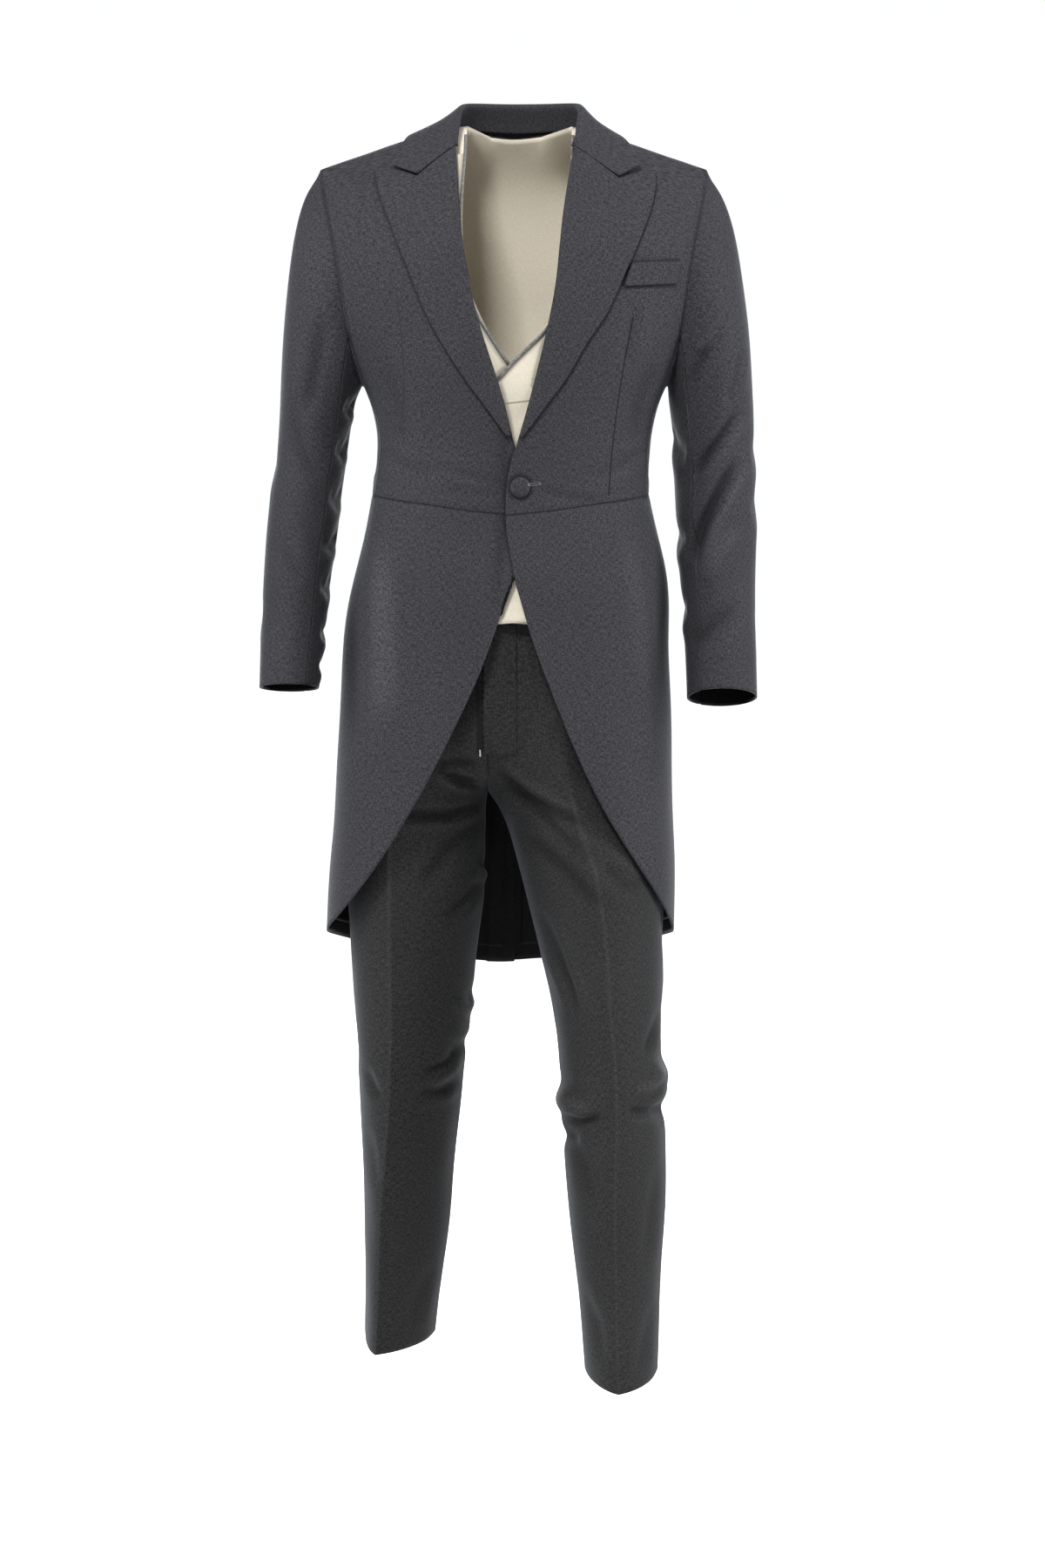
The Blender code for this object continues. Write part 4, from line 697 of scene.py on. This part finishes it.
def mark_crease(name, mesh):
    press = mesh.verts.layers.float.new("press")
    if name not in CREASE_TOPS:
        return
    sharp = mesh.edges.layers.float.new("crease_edge")
    top = Vector(CREASE_TOPS[name]) * MM
    vertex = min(edge_vertices(mesh), key=lambda v: (v.co - top).length)
    edge = next(e for e in vertex.link_edges if not e.is_boundary)
    while edge is not None:
        vertex = edge.other_vert(vertex)
        strength = min(max((CREASE_STARTS - vertex.co.z) / (CREASE_STARTS - CREASE_FULL), 0.0), 1.0)
        edge[sharp] = CREASE_SHARPNESS * strength
        vertex[press] = strength
        edge = straight_on(vertex, edge)


border_points = [(name, vertex.co.copy()) for name, mesh in sheets.items() for vertex in edge_vertices(mesh)]
border_owners = [name for name, _place in border_points]
border_tree = place_tree([place for _name, place in border_points])
for name, mesh in sheets.items():
    mark_sewn(name, mesh, border_tree, border_owners)
    mark_corners(mesh)
    mark_crease(name, mesh)
print("edge points:", len(border_points))

# %% [markdown]
# ## Folds
#
# A fold is a soft stroke on the cloth. Its row gives the side it is seen from, a width, a lift,
# which is negative for a trough, and then the points of a line, all in mm. From the front or back
# each point is x and z, and from the left or right side y and z. Across the stroke the lift dies
# away as a bell, with a low ridge on its other side, and it runs out at both ends. One table per
# garment moves all its pieces alike. The strokes at the sides and the back, which the photograph
# doesn't show, are like the ones in front.

# %% Tables of folds
FOLDS = {}
FOLDS["sleeve_left"] = """\
front 8 -2.6  232 -215  212 -244  192 -282
front 8 -4.4  254 -308  236 -334  214 -362  200 -384
front 9 -5.6  254 -362  232 -397  213 -434  200 -478
front 6 -2.2  256 -240  248 -278  238 -304
front 14 -2.7  254 -521  217 -552  195 -571
front 8 2.4  225 -215  216 -232  200 -240
front 16 2.4  250 -440  228 -470  212 -500
right 15 -3.4  20 -330  -5 -350  -30 -362
right 14 -3.2  25 -440  -5 -455  -30 -453
right 14 -2.7  10 -520  -20 -535  -40 -532
back 13 -5.4  262 -300  235 -340  212 -352
back 12 -4.9  258 -345  232 -380  205 -392
back 12 -3.8  262 -395  235 -420  212 -424
back 13 -3.5  240 -160  222 -220  210 -262
left 18 -1.6  40 -310  10 -350  -20 -362
left 18 -1.3  30 -390  0 -415  -25 -420
left 18 -1.2  20 -545  -10 -560  -35 -556
"""
FOLDS["sleeve_right"] = """\
front 16 -2.8  -212 -201  -222 -262  -234 -318
front 15 -2.2  -252 -300  -240 -350  -222 -388
front 15 -1.8  -262 -450  -250 -480  -236 -500
left 10 -3.4  5 -300  -15 -308  -35 -304
left 11 -2.8  5 -345  -15 -356  -35 -350
left 12 -2.6  10 -400  -15 -410  -35 -404
left 11 -3.2  5 -452  -20 -460  -42 -456
left 11 -2.6  0 -500  -25 -510  -45 -504
left 9 -3.0  0 -552  -25 -562  -50 -556
left 9 -2.4  0 -588  -25 -598  -50 -592
back 13 -4.5  -262 -300  -238 -338  -215 -350
back 12 -3.8  -258 -345  -236 -382  -214 -396
back 12 -2.8  -266 -410  -245 -432  -226 -434
back 13 -3.0  -240 -160  -224 -220  -214 -258
right 18 -1.2  35 -340  5 -372  -20 -380
right 18 -1.0  25 -520  -10 -540  -35 -536
"""
FOLDS["coat"] = """\
front 9 -1.6  132 -190  130 -225  122 -262
front 13 -2.0  158 -255  140 -300  134 -352
front 13 -1.8  -145 -250  -128 -305  -122 -360
front 9 -1.4  150 -350  118 -372  80 -384
front 7 -1.0  22 -396  62 -405  104 -412
front 7 -1.3  -6 -390  -40 -382  -84 -370
front 7 -0.8  -4 -398  -44 -400  -90 -398
front 9 -1.4  -150 -352  -120 -372  -80 -378
front 22 -2.4  -183 -470  -184 -586  -189 -700
front 24 2.0  -150 -440  -142 -540  -136 -660
front 22 -2.2  172 -455  172 -586  180 -700
front 24 1.6  120 -430  140 -520  158 -640
left 20 -2.6  60 -545  66 -650  76 -800
left 22 -2.2  98 -545  112 -680  124 -860
left 12 -2.0  20 -250  5 -310  10 -370
left 10 -1.8  60 -330  30 -362  -20 -380
right 20 -2.6  60 -545  68 -650  80 -800
right 22 -2.0  98 -545  115 -690  122 -870
right 12 -2.0  20 -250  5 -316  10 -370
right 10 -1.8  60 -325  28 -360  -20 -376
back 12 -2.6  160 -110  146 -190  138 -270
back 12 -2.4  -160 -110  -147 -200  -139 -280
back 11 1.6  150 -120  136 -190  130 -240
back 11 1.6  -152 -124  -138 -190  -132 -250
back 10 -2.0  110 -345  60 -372  8 -368
back 10 -2.2  -118 -338  -62 -368  -10 -376
back 9 -1.5  90 -385  40 -398  4 -392
back 9 -1.4  -96 -388  -48 -402  -6 -404
back 9 -1.2  60 -52  10 -58  -50 -54
back 20 -2.4  38 -480  40 -650  34 -860
back 20 -2.2  -42 -480  -46 -660  -38 -880
back 22 2.6  110 -470  122 -640  118 -850
back 22 2.6  -112 -480  -126 -650  -120 -860
"""
FOLDS["waistcoat"] = """\
front 6 -0.9  -20 -470  -2 -505  4 -535
front 9 -1.0  60 -240  20 -300  -10 -330
back 12 -1.8  90 -330  40 -360  -60 -352
back 12 -1.6  -90 -370  -30 -395  70 -388
"""
FOLDS["trousers_left"] = """\
front 9 -4.9  -27 -708  10 -735  49 -757  84 -772
front 9 -3.5  -18 -724  29 -758  88 -812
front 15 -2.4  49 -650  68 -693  84 -735
front 13 -3.5  8 -781  59 -820  102 -864
front 12 -2.4  96 -812  126 -838  146 -842
front 10 -3.0  27 -868  49 -917  64 -962  70 -996
front 8 2.2  30 -920  50 -952  66 -990
front 8 -3.2  172 -977  159 -1005  148 -1030
front 8 3.0  177 -1048  158 -1062  132 -1066
front 8 -4.1  172 -1100  150 -1090  126 -1086
front 8 2.7  45 -1072  62 -1084  86 -1080
front 7 -4.3  48 -1104  72 -1104  100 -1093
front 12 -2.2  60 -1122  78 -1150  86 -1190
front 14 -2.4  168 -1150  158 -1200  150 -1260
front 12 -2.2  72 -1290  92 -1330  98 -1372
front 12 -1.9  160 -1310  150 -1345  142 -1380
left 15 3.0  -112 -1050  -66 -1062  -20 -1062
left 13 -2.2  -110 -1092  -66 -1100  -20 -1096
right 15 3.2  -112 -1080  -66 -1090  -20 -1092
right 11 -2.4  -112 -1124  -66 -1132  -20 -1130
left 18 -2.7  -20 -560  -10 -640  -20 -730
left 18 -2.7  -40 -860  -20 -960  -60 -1050
back 12 -4.6  8 -748  50 -782  112 -800
back 13 -3.5  16 -775  60 -812  120 -836
back 20 -2.7  60 -590  96 -640  120 -700
back 9 -4.1  60 -1062  110 -1072  164 -1064
back 8 -3.0  66 -1084  112 -1096  160 -1090
back 10 -2.4  58 -1040  110 -1046  165 -1036
back 14 -2.4  88 -1250  104 -1310  112 -1370
"""
FOLDS["trousers_right"] = """\
front 7 -3.5  -36 -706  -60 -700  -92 -704
front 7 -3.8  -37 -728  -58 -722  -84 -706
front 8 -3.8  -36 -752  -68 -762  -117 -760  -156 -752
front 14 -2.7  -40 -775  -72 -800  -110 -850
front 14 -2.2  -45 -600  -62 -650  -76 -690
front 10 -2.7  -38 -842  -52 -862  -78 -884
front 9 -3.5  -57 -1039  -75 -1056  -104 -1064
front 9 -2.7  -63 -1079  -82 -1088  -110 -1086
front 10 -3.0  -172 -1060  -160 -1084  -150 -1092
front 12 -2.2  -174 -1131  -166 -1160  -160 -1200
front 12 -1.9  -92 -1300  -112 -1340  -120 -1374
left 8 2.6  -30 -834  0 -842  34 -840
left 11 2.6  -30 -984  10 -996  50 -992
left 11 -2.4  -30 -1034  10 -1042  50 -1038
right 18 -2.7  -10 -560  0 -660  10 -740
right 18 -2.4  20 -880  40 -980  30 -1070
back 12 -4.6  -14 -748  -60 -784  -124 -802
back 13 -3.5  -22 -778  -66 -816  -130 -842
back 20 -2.7  -66 -590  -104 -646  -130 -700
back 9 -4.1  -62 -1050  -112 -1066  -176 -1058
back 8 -3.0  -70 -1076  -120 -1088  -172 -1084
back 14 -2.4  -96 -1250  -104 -1310  -110 -1370
"""
FOLDS["waistband"] = ""
# Strokes on one piece alone: under the lap, the right front and skirt lie a little deeper.
OWN_FOLDS = {
    "coat_front_right": "front 12 -1.6  -4 -240  -6 -330  -8 -430",
    "coat_skirt_right": "front 12 -1.6  -6 -360  -8 -440  -22 -540",
}
print("folds:", {garment: rows.count("\n") for garment, rows in FOLDS.items()})

# %% [markdown]
# ## Moving the points
#
# Each point of a sheet moves along its normal by the sum of the strokes near it. A stroke only
# reaches points that face its side. A little slow unevenness keeps large plain areas from
# looking pressed from a mould.

# %% Lift of the folds
VIEWS = {
    "front": ((0, 2), (0, -1, 0)), "back": ((0, 2), (0, 1, 0)),
    "left": ((1, 2), (1, 0, 0)), "right": ((1, 2), (-1, 0, 0)),
}
RIDGE_SHARE, RIDGE_PLACE = 0.45, 1.8
FOLD_STRENGTH, FOLD_NARROWING = 1.35, 0.8
FACING_STEP = (0.05, 0.55)


def stroke_lift(places, line, width, lift):
    """The lift that one stroke gives to points on a flat view, all in mm."""
    lengths = np.linalg.norm(np.diff(line, axis=0), axis=1)
    nearest = np.full(len(places), np.inf)
    offset, along = np.zeros(len(places)), np.zeros(len(places))
    run = 0.0
    for start, end, length in zip(line[:-1], line[1:], lengths):
        step = (end - start) / length
        walked = np.clip((places - start) @ step, 0, length)
        away = places - (start + walked[:, None] * step)
        gap = np.linalg.norm(away, axis=1)
        signed = np.where(away @ np.array((-step[1], step[0])) < 0, -gap, gap)
        nearer = gap < nearest
        nearest = np.where(nearer, gap, nearest)
        offset = np.where(nearer, signed, offset)
        along = np.where(nearer, run + walked, along)
        run += length
    fade = 1 - (2 * along / run - 1) ** 4
    bell = np.exp(-((offset / width) ** 2))
    ridge = np.exp(-((offset / width - RIDGE_PLACE) ** 2))
    return lift * fade * (bell - RIDGE_SHARE * ridge)


def soft_step(values, low, high):
    share = np.clip((values - low) / (high - low), 0, 1)
    return share * share * (3 - 2 * share)


def folds_lift(rows, points, normals):
    """The summed lift of the strokes at points in mm."""
    total = np.zeros(len(points))
    for row in rows.splitlines():
        seen, *numbers = row.split()
        width, lift, *places = map(float, numbers)
        line = np.array(places).reshape(-1, 2)
        axes, direction = VIEWS[seen]
        facing = soft_step(normals @ np.array(direction, float), *FACING_STEP)
        total += facing * stroke_lift(points[:, axes], line, width * FOLD_NARROWING, lift * FOLD_STRENGTH)
    return total


def unevenness(points):
    """A slow swing between -1 and 1 over the suit, from three crossing ripples."""
    x, y, z = points.T / 1000
    return (
        np.sin(31 * x + 17 * z + 3 * np.sin(23 * y))
        + np.sin(47 * z - 29 * y + 2 * np.sin(37 * x))
        + np.sin(23 * x - 61 * y + 11 * z + 1.7)
    ) / 3


print("fold lift ready")

# %% [markdown]
# ## The map of the cloth
#
# The weave follows a map in metres that runs round the garment's middle line and down its
# length, like threads in the cloth: across is the angle times a mean radius, along is the height.

# %% Cloth maps
# Each garment's middle line from top to bottom, in mm, and its mean radius.
MIDDLE_LINES = {
    "coat": ((0, 0, 0), (0, 0, -1000), 150),
    "waistcoat": ((0, 0, 0), (0, 0, -1000), 140),
    "waistband": ((0, 0, 0), (0, 0, -1000), 130),
    "sleeve_left": ((205, 10, -100), (234, -45, -640), 48),
    "sleeve_right": ((-205, 10, -100), (-252, -42, -640), 48),
    "trousers_left": ((76, -8, -435), (122, -96, -1393), 70),
    "trousers_right": ((-88, 8, -435), (-135, 64, -1393), 70),
}


def map_cloth(mesh, garment):
    """Gives the mesh the map named cloth, face by face, so that no face spans the angle's jump."""
    top, bottom, radius = MIDDLE_LINES[garment]
    top, bottom = np.array(top, float) * MM, np.array(bottom, float) * MM
    points = np.empty(len(mesh.vertices) * 3)
    mesh.vertices.foreach_get("co", points)
    points = points.reshape(-1, 3)
    share = (points[:, 2] - top[2]) / (bottom[2] - top[2])
    middle = top + share[:, None] * (bottom - top)
    angle = np.arctan2(points[:, 0] - middle[:, 0], middle[:, 1] - points[:, 1])
    corners = np.empty(len(mesh.loops), int)
    mesh.loops.foreach_get("vertex_index", corners)
    starts = np.empty(len(mesh.polygons), int)
    counts = np.empty(len(mesh.polygons), int)
    mesh.polygons.foreach_get("loop_start", starts)
    mesh.polygons.foreach_get("loop_total", counts)
    first = np.repeat(angle[corners[starts]], counts)
    turned = first + (angle[corners] - first + math.pi) % (2 * math.pi) - math.pi
    flat = np.column_stack((turned * radius * MM, points[corners, 2]))
    layer = mesh.uv_layers.new(name="cloth")
    layer.data.foreach_set("uv", flat.ravel())


print("maps ready")

# %% [markdown]
# ## Edges and neighbours
#
# What happens at an edge depends on what is beside it. These functions give a sheet's edges as
# rows of places close together, the distances to them, and the pieces that are sewn on edge to
# edge. The loose parts lie on the cloth, and the lapped fronts only cross each other.

# %% Edges and neighbours
LOOSE_PARTS = ("piping", "fly", "lapel", "collar", "lining", "welt")
LAPPED = ("coat_front", "coat_skirt", "waistcoat_front")
EDGE_SHARES = (0, 0.33, 0.67)


def read(mesh, name):
    values = np.empty(len(mesh.vertices))
    mesh.attributes[name].data.foreach_get("value", values)
    return values


def store(mesh, name, values):
    mesh.attributes.new(name, "FLOAT", "POINT").data.foreach_set("value", values)


def border_ends(mesh):
    """The end points' numbers of each edge that has one face."""
    counts = np.zeros(len(mesh.edges), int)
    loop_edges = np.empty(len(mesh.loops), int)
    mesh.loops.foreach_get("edge_index", loop_edges)
    np.add.at(counts, loop_edges, 1)
    ends = np.empty(len(mesh.edges) * 2, int)
    mesh.edges.foreach_get("vertices", ends)
    return ends.reshape(-1, 2)[counts == 1]


def edge_places(mesh, points):
    """Places close together along the sheet's free and sewn edges."""
    ends = border_ends(mesh)
    starts, stops = points[ends[:, 0]], points[ends[:, 1]]
    return np.concatenate([starts * (1 - share) + stops * share for share in EDGE_SHARES])


def is_loose(name):
    return any(part in name for part in LOOSE_PARTS)


def sewn_group(name):
    return name.split("_")[0].replace("sleeve", "coat")


def sewn_neighbours(name):
    """The pieces whose edges can be sewn edge to edge to this one's."""
    if is_loose(name):
        return []
    stem = name.rsplit("_", 1)[0]
    return [
        other for other in pieces
        if other != name and not is_loose(other) and sewn_group(other) == sewn_group(name)
        and not (stem in LAPPED and other.startswith(stem))
    ]


def distances(points, places):
    """The distance from each point to the nearest of the places."""
    tree = place_tree(places)
    return np.array([tree.find(point)[2] for point in points])


print("sewn to the left side body:", sewn_neighbours("coat_side_left"))

# %% [markdown]
# ## Shaping a sheet
#
# The sheet is subdivided to a fine net and moved by the folds. Sewn edges dip a little so that
# each seam shows. A sleeve and the coat have tables of their own, so their folds die out towards
# the armhole. At last the edges of pieces that are sewn together are drawn to the middle
# between them.

# %% Shape of a sheet
SEAM_DIP, SEAM_WIDTH = 0.3, 1.0
# A laid edge is looked for this far above the cloth, and counts between the two heights.
LAID_REACH, EDGE_ABOVE, EDGE_LOW, EDGE_HIGH = 12.0, 3.0, 0.9, 7.0
# The fly is sewn down beyond this x and below this z, where its cloth runs on without a step.
FLY_SEWN_X, FLY_SEWN_Z, FLY_SLOPE, FLY_STEP = -14.0, -676.0, 12.0, 1.25
CORD_ROUNDING, CORD_EDGE = 0.8, 1.9
UNEVEN_LIFT = {"coat": 0.5, "waistcoat": 0.3, "waistband": 0.2}
UNEVEN_ELSEWHERE = 0.7
PRESS_LIFT, PRESS_STEP = 0.3, (0.7, 1.0)
LINING_DROP = 1.0
# Seams are drawn shut over this gap, and folds fade out this near to a seam with another table.
SEAM_REACH, QUIET_REACH = 5.0, 14.0


def subdivided(name, levels):
    """The finely divided mesh of a piece's sheet, still in its plain shape."""
    draft = place_object(name + "_draft", mesh_from(sheets[name], name))
    smooth = draft.modifiers.new("smooth", "SUBSURF")
    smooth.levels = smooth.render_levels = levels
    smooth.boundary_smooth = "PRESERVE_CORNERS"
    bpy.context.view_layer.update()
    graph = bpy.context.evaluated_depsgraph_get()
    mesh = bpy.data.meshes.new_from_object(draft.evaluated_get(graph))
    bpy.data.objects.remove(draft)
    mesh.name = name + "_cloth"
    return mesh


def move_points(name, facts, mesh):
    """Moves the points by the folds, and keeps each point's distance to the edge."""
    points, normals = mesh_points(mesh), np.empty(len(mesh.vertices) * 3)
    mesh.vertices.foreach_get("normal", normals)
    normals = normals.reshape(-1, 3)
    garment, edges = facts["garment"], plain_edges[name]
    edge_mm = distances(points, edges)
    lift = folds_lift(FOLDS[garment] + OWN_FOLDS.get(name, ""), points, normals)
    store(mesh, "fold_mm", lift)
    lift += UNEVEN_LIFT.get(garment, UNEVEN_ELSEWHERE) * unevenness(points)
    others = [plain_edges[other] for other in sewn_neighbours(name) if pieces[other]["garment"] != garment]
    if others:
        lift *= soft_step(distances(points, np.concatenate(others)), 0.0, QUIET_REACH)
    if "lining" in name:
        lift -= LINING_DROP
    lift -= SEAM_DIP * read(mesh, "sewn") * (edge_mm < SEAM_WIDTH)
    lift += PRESS_LIFT * soft_step(read(mesh, "press"), *PRESS_STEP)
    if facts["slot"] == "grey_piping":
        lift += CORD_ROUNDING * soft_step(edge_mm, 0.0, CORD_EDGE)
    if name == "trouser_fly":
        beyond = soft_step(points[:, 0], FLY_SEWN_X, FLY_SEWN_X + FLY_SLOPE)
        below = soft_step(-points[:, 2], -FLY_SEWN_Z, -FLY_SEWN_Z + FLY_SLOPE)
        lift -= FLY_STEP * np.maximum(beyond, below)
        mesh.attributes["sewn"].data.foreach_set("value", np.zeros(len(points)))
        edges = edges[edges[:, 0] < FLY_SEWN_X - FLY_SLOPE]
    mesh.vertices.foreach_set("co", ((points + normals * lift[:, None]) * MM).ravel())
    store(mesh, "edge_mm", edge_mm)
    return points, normals, edges


def close_seams(name, mesh):
    """The points of a sheet, with its edges drawn midway to the pieces they are sewn to."""
    others = sewn_neighbours(name)
    points = mesh_points(mesh)
    if others:
        tree = place_tree(np.concatenate([moved_edges[other] for other in others]))
        for index in np.unique(border_ends(mesh)):
            found, _number, gap = tree.find(points[index])
            if gap < SEAM_REACH:
                points[index] = (points[index] + np.array(found)) / 2
    return points


def laid_distances(points, normals, places):
    """The distance along the cloth from each point to an edge that lies on the cloth."""
    laid = np.full(len(points), LAID_REACH)
    if not len(places):
        return laid
    tree = place_tree(places)
    for index, (point, normal) in enumerate(zip(points, normals)):
        found, _number, gap = tree.find(point + EDGE_ABOVE * normal)
        if gap < LAID_REACH:
            away = np.array(found) - point
            height = away @ normal
            if EDGE_LOW < height < EDGE_HIGH:
                laid[index] = math.sqrt(max(away @ away - height * height, 0.0))
    return laid


print("fly sewn down beyond x", FLY_SEWN_X, "and below z", FLY_SEWN_Z)

# %% [markdown]
# ## Making the pieces
#
# Each shaped sheet is mapped and given its wall with a Solidify modifier that adds the thickness
# inwards. The inner face takes the lining or the wrong side of the cloth.

# %% Cloth pieces


def finish_cloth(name, facts, mesh):
    map_cloth(mesh, facts["garment"])
    mesh.materials.clear()
    mesh.materials.append(facts["outside"])
    mesh.materials.append(facts["inside"])
    mesh.polygons.foreach_set("material_index", np.zeros(len(mesh.polygons), int))
    mesh.polygons.foreach_set("use_smooth", np.ones(len(mesh.polygons), bool))
    mesh.update()
    piece = place_object(name + "_cloth", mesh)
    wall = piece.modifiers.new("wall", "SOLIDIFY")
    wall.thickness = facts["wall"]
    wall.offset = -1
    wall.material_offset = 1
    wall.material_offset_rim = 0
    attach(piece, "root")
    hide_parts(name)
    return piece


meshes = {name: subdivided(name, facts["levels"]) for name, facts in pieces.items()}
plain_edges = {name: edge_places(mesh, mesh_points(mesh)) for name, mesh in meshes.items()}
spots, normals, edges = {}, {}, {}
for name, facts in pieces.items():
    spots[name], normals[name], edges[name] = move_points(name, facts, meshes[name])
moved_edges = {name: edge_places(mesh, mesh_points(mesh)) for name, mesh in meshes.items()}
closed = {name: close_seams(name, mesh) for name, mesh in meshes.items()}
for name, mesh in meshes.items():
    mesh.vertices.foreach_set("co", (closed[name] * MM).ravel())
    low, high = spots[name].min(axis=0) - LAID_REACH, spots[name].max(axis=0) + LAID_REACH
    others = np.concatenate([places for other, places in edges.items() if other != name])
    others = others[((others > low) & (others < high)).all(axis=1)]
    # The coat hides the waistcoat's back, so it takes no painted shadow from edges.
    if name == "waistcoat_back":
        others = others[:0]
    store(mesh, "laid_mm", laid_distances(spots[name], normals[name], others))
made = {name: finish_cloth(name, facts, meshes[name]) for name, facts in pieces.items()}
print("cloth pieces:", len(made), "faces:", sum(len(piece.data.polygons) for piece in made.values()))

# %% [markdown]
# ## The covered button
#
# The button is a mould covered with the coat's cloth, gathered tight behind it. Its outline is
# half a cross-section, from the crown over the rolled rim to the back, and one turn about its
# axis makes the disc. The solid gives its middle and the way it faces.

# %% Button
# Half the button's cross-section: the distance from the axis and the height, in mm.
BUTTON_OUTLINE = (
    (0.0, 2.9), (4.0, 2.8), (7.6, 2.4), (9.6, 1.7), (10.7, 0.5), (10.9, -0.6), (10.3, -1.7), (8.8, -2.3),
    (0.0, -2.3),
)
# The painted shadow on the front round the button starts this far out from it.
BUTTON_STEPS, BUTTON_SHADOW_START = 48, 1.0
# The button has no seam, crease or fold near, so its cloth's measures are plain values.
BUTTON_MEASURES = {"edge_mm": 50.0, "sewn": 0.0, "press": 0.0, "laid_mm": 50.0, "fold_mm": 0.0}


def thin_direction(points):
    """The direction in which a cloud of points is thinnest, turned to the front."""
    _spread, directions = np.linalg.eigh(np.cov((points - points.mean(axis=0)).T))
    return directions[:, 0] * (-1 if directions[1, 0] > 0 else 1)


solid = frame["nodes"]["coat_button"].data
corners = np.array([tuple(vertex.co) for vertex in solid.vertices])
button_low, button_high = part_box("coat_button")
button_middle = (Vector(button_low) + Vector(button_high)) / 2
disc = bmesh.new()
outline = [disc.verts.new((radius * MM, 0, height * MM)) for radius, height in BUTTON_OUTLINE]
rings = [disc.edges.new(pair) for pair in zip(outline, outline[1:])]
bmesh.ops.spin(
    disc, geom=outline + rings, cent=(0, 0, 0), axis=(0, 0, 1), dvec=(0, 0, 0),
    angle=2 * math.pi, steps=BUTTON_STEPS, use_merge=True, use_duplicate=False,
)
bmesh.ops.remove_doubles(disc, verts=disc.verts, dist=WELD_REACH / 2)
bmesh.ops.recalc_face_normals(disc, faces=disc.faces)
facing = Vector(thin_direction(corners)).to_track_quat("Z", "Y")
bmesh.ops.transform(disc, matrix=facing.to_matrix().to_4x4(), verts=disc.verts)
bmesh.ops.translate(disc, verts=disc.verts, vec=button_middle)
button_data = mesh_from(disc, "coat_button")
for measured, value in BUTTON_MEASURES.items():
    store(button_data, measured, np.full(len(button_data.vertices), value))
map_cloth(button_data, "coat")
button_data.materials.append(charcoal)
button_data.polygons.foreach_set("use_smooth", np.ones(len(button_data.polygons), bool))
button = place_object("coat_button_covered", button_data)
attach(button, "root")
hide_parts("coat_button")
# The left front gets a painted shadow round the button: its distance to the button joins the distance to
# edges that lie on it.
left_front = made["coat_front_left"].data
near_button = distances(spots["coat_front_left"], mesh_points(button_data))
painted_shadow_distance = np.minimum(read(left_front, "laid_mm"), near_button - BUTTON_SHADOW_START)
left_front.attributes["laid_mm"].data.foreach_set("value", painted_shadow_distance)
print("button faces:", len(button_data.polygons))

# %% [markdown]
# ## Counting the cloth
#
# The pieces of cloth are counted, all but the piping, which edges the waistcoat front. The
# button sits on the left front.

# %% Sheets
for name, facts in pieces.items():
    if name.startswith("waistcoat_piping"):
        continue
print("sheets declared:", len(pieces) - len(SIDES))
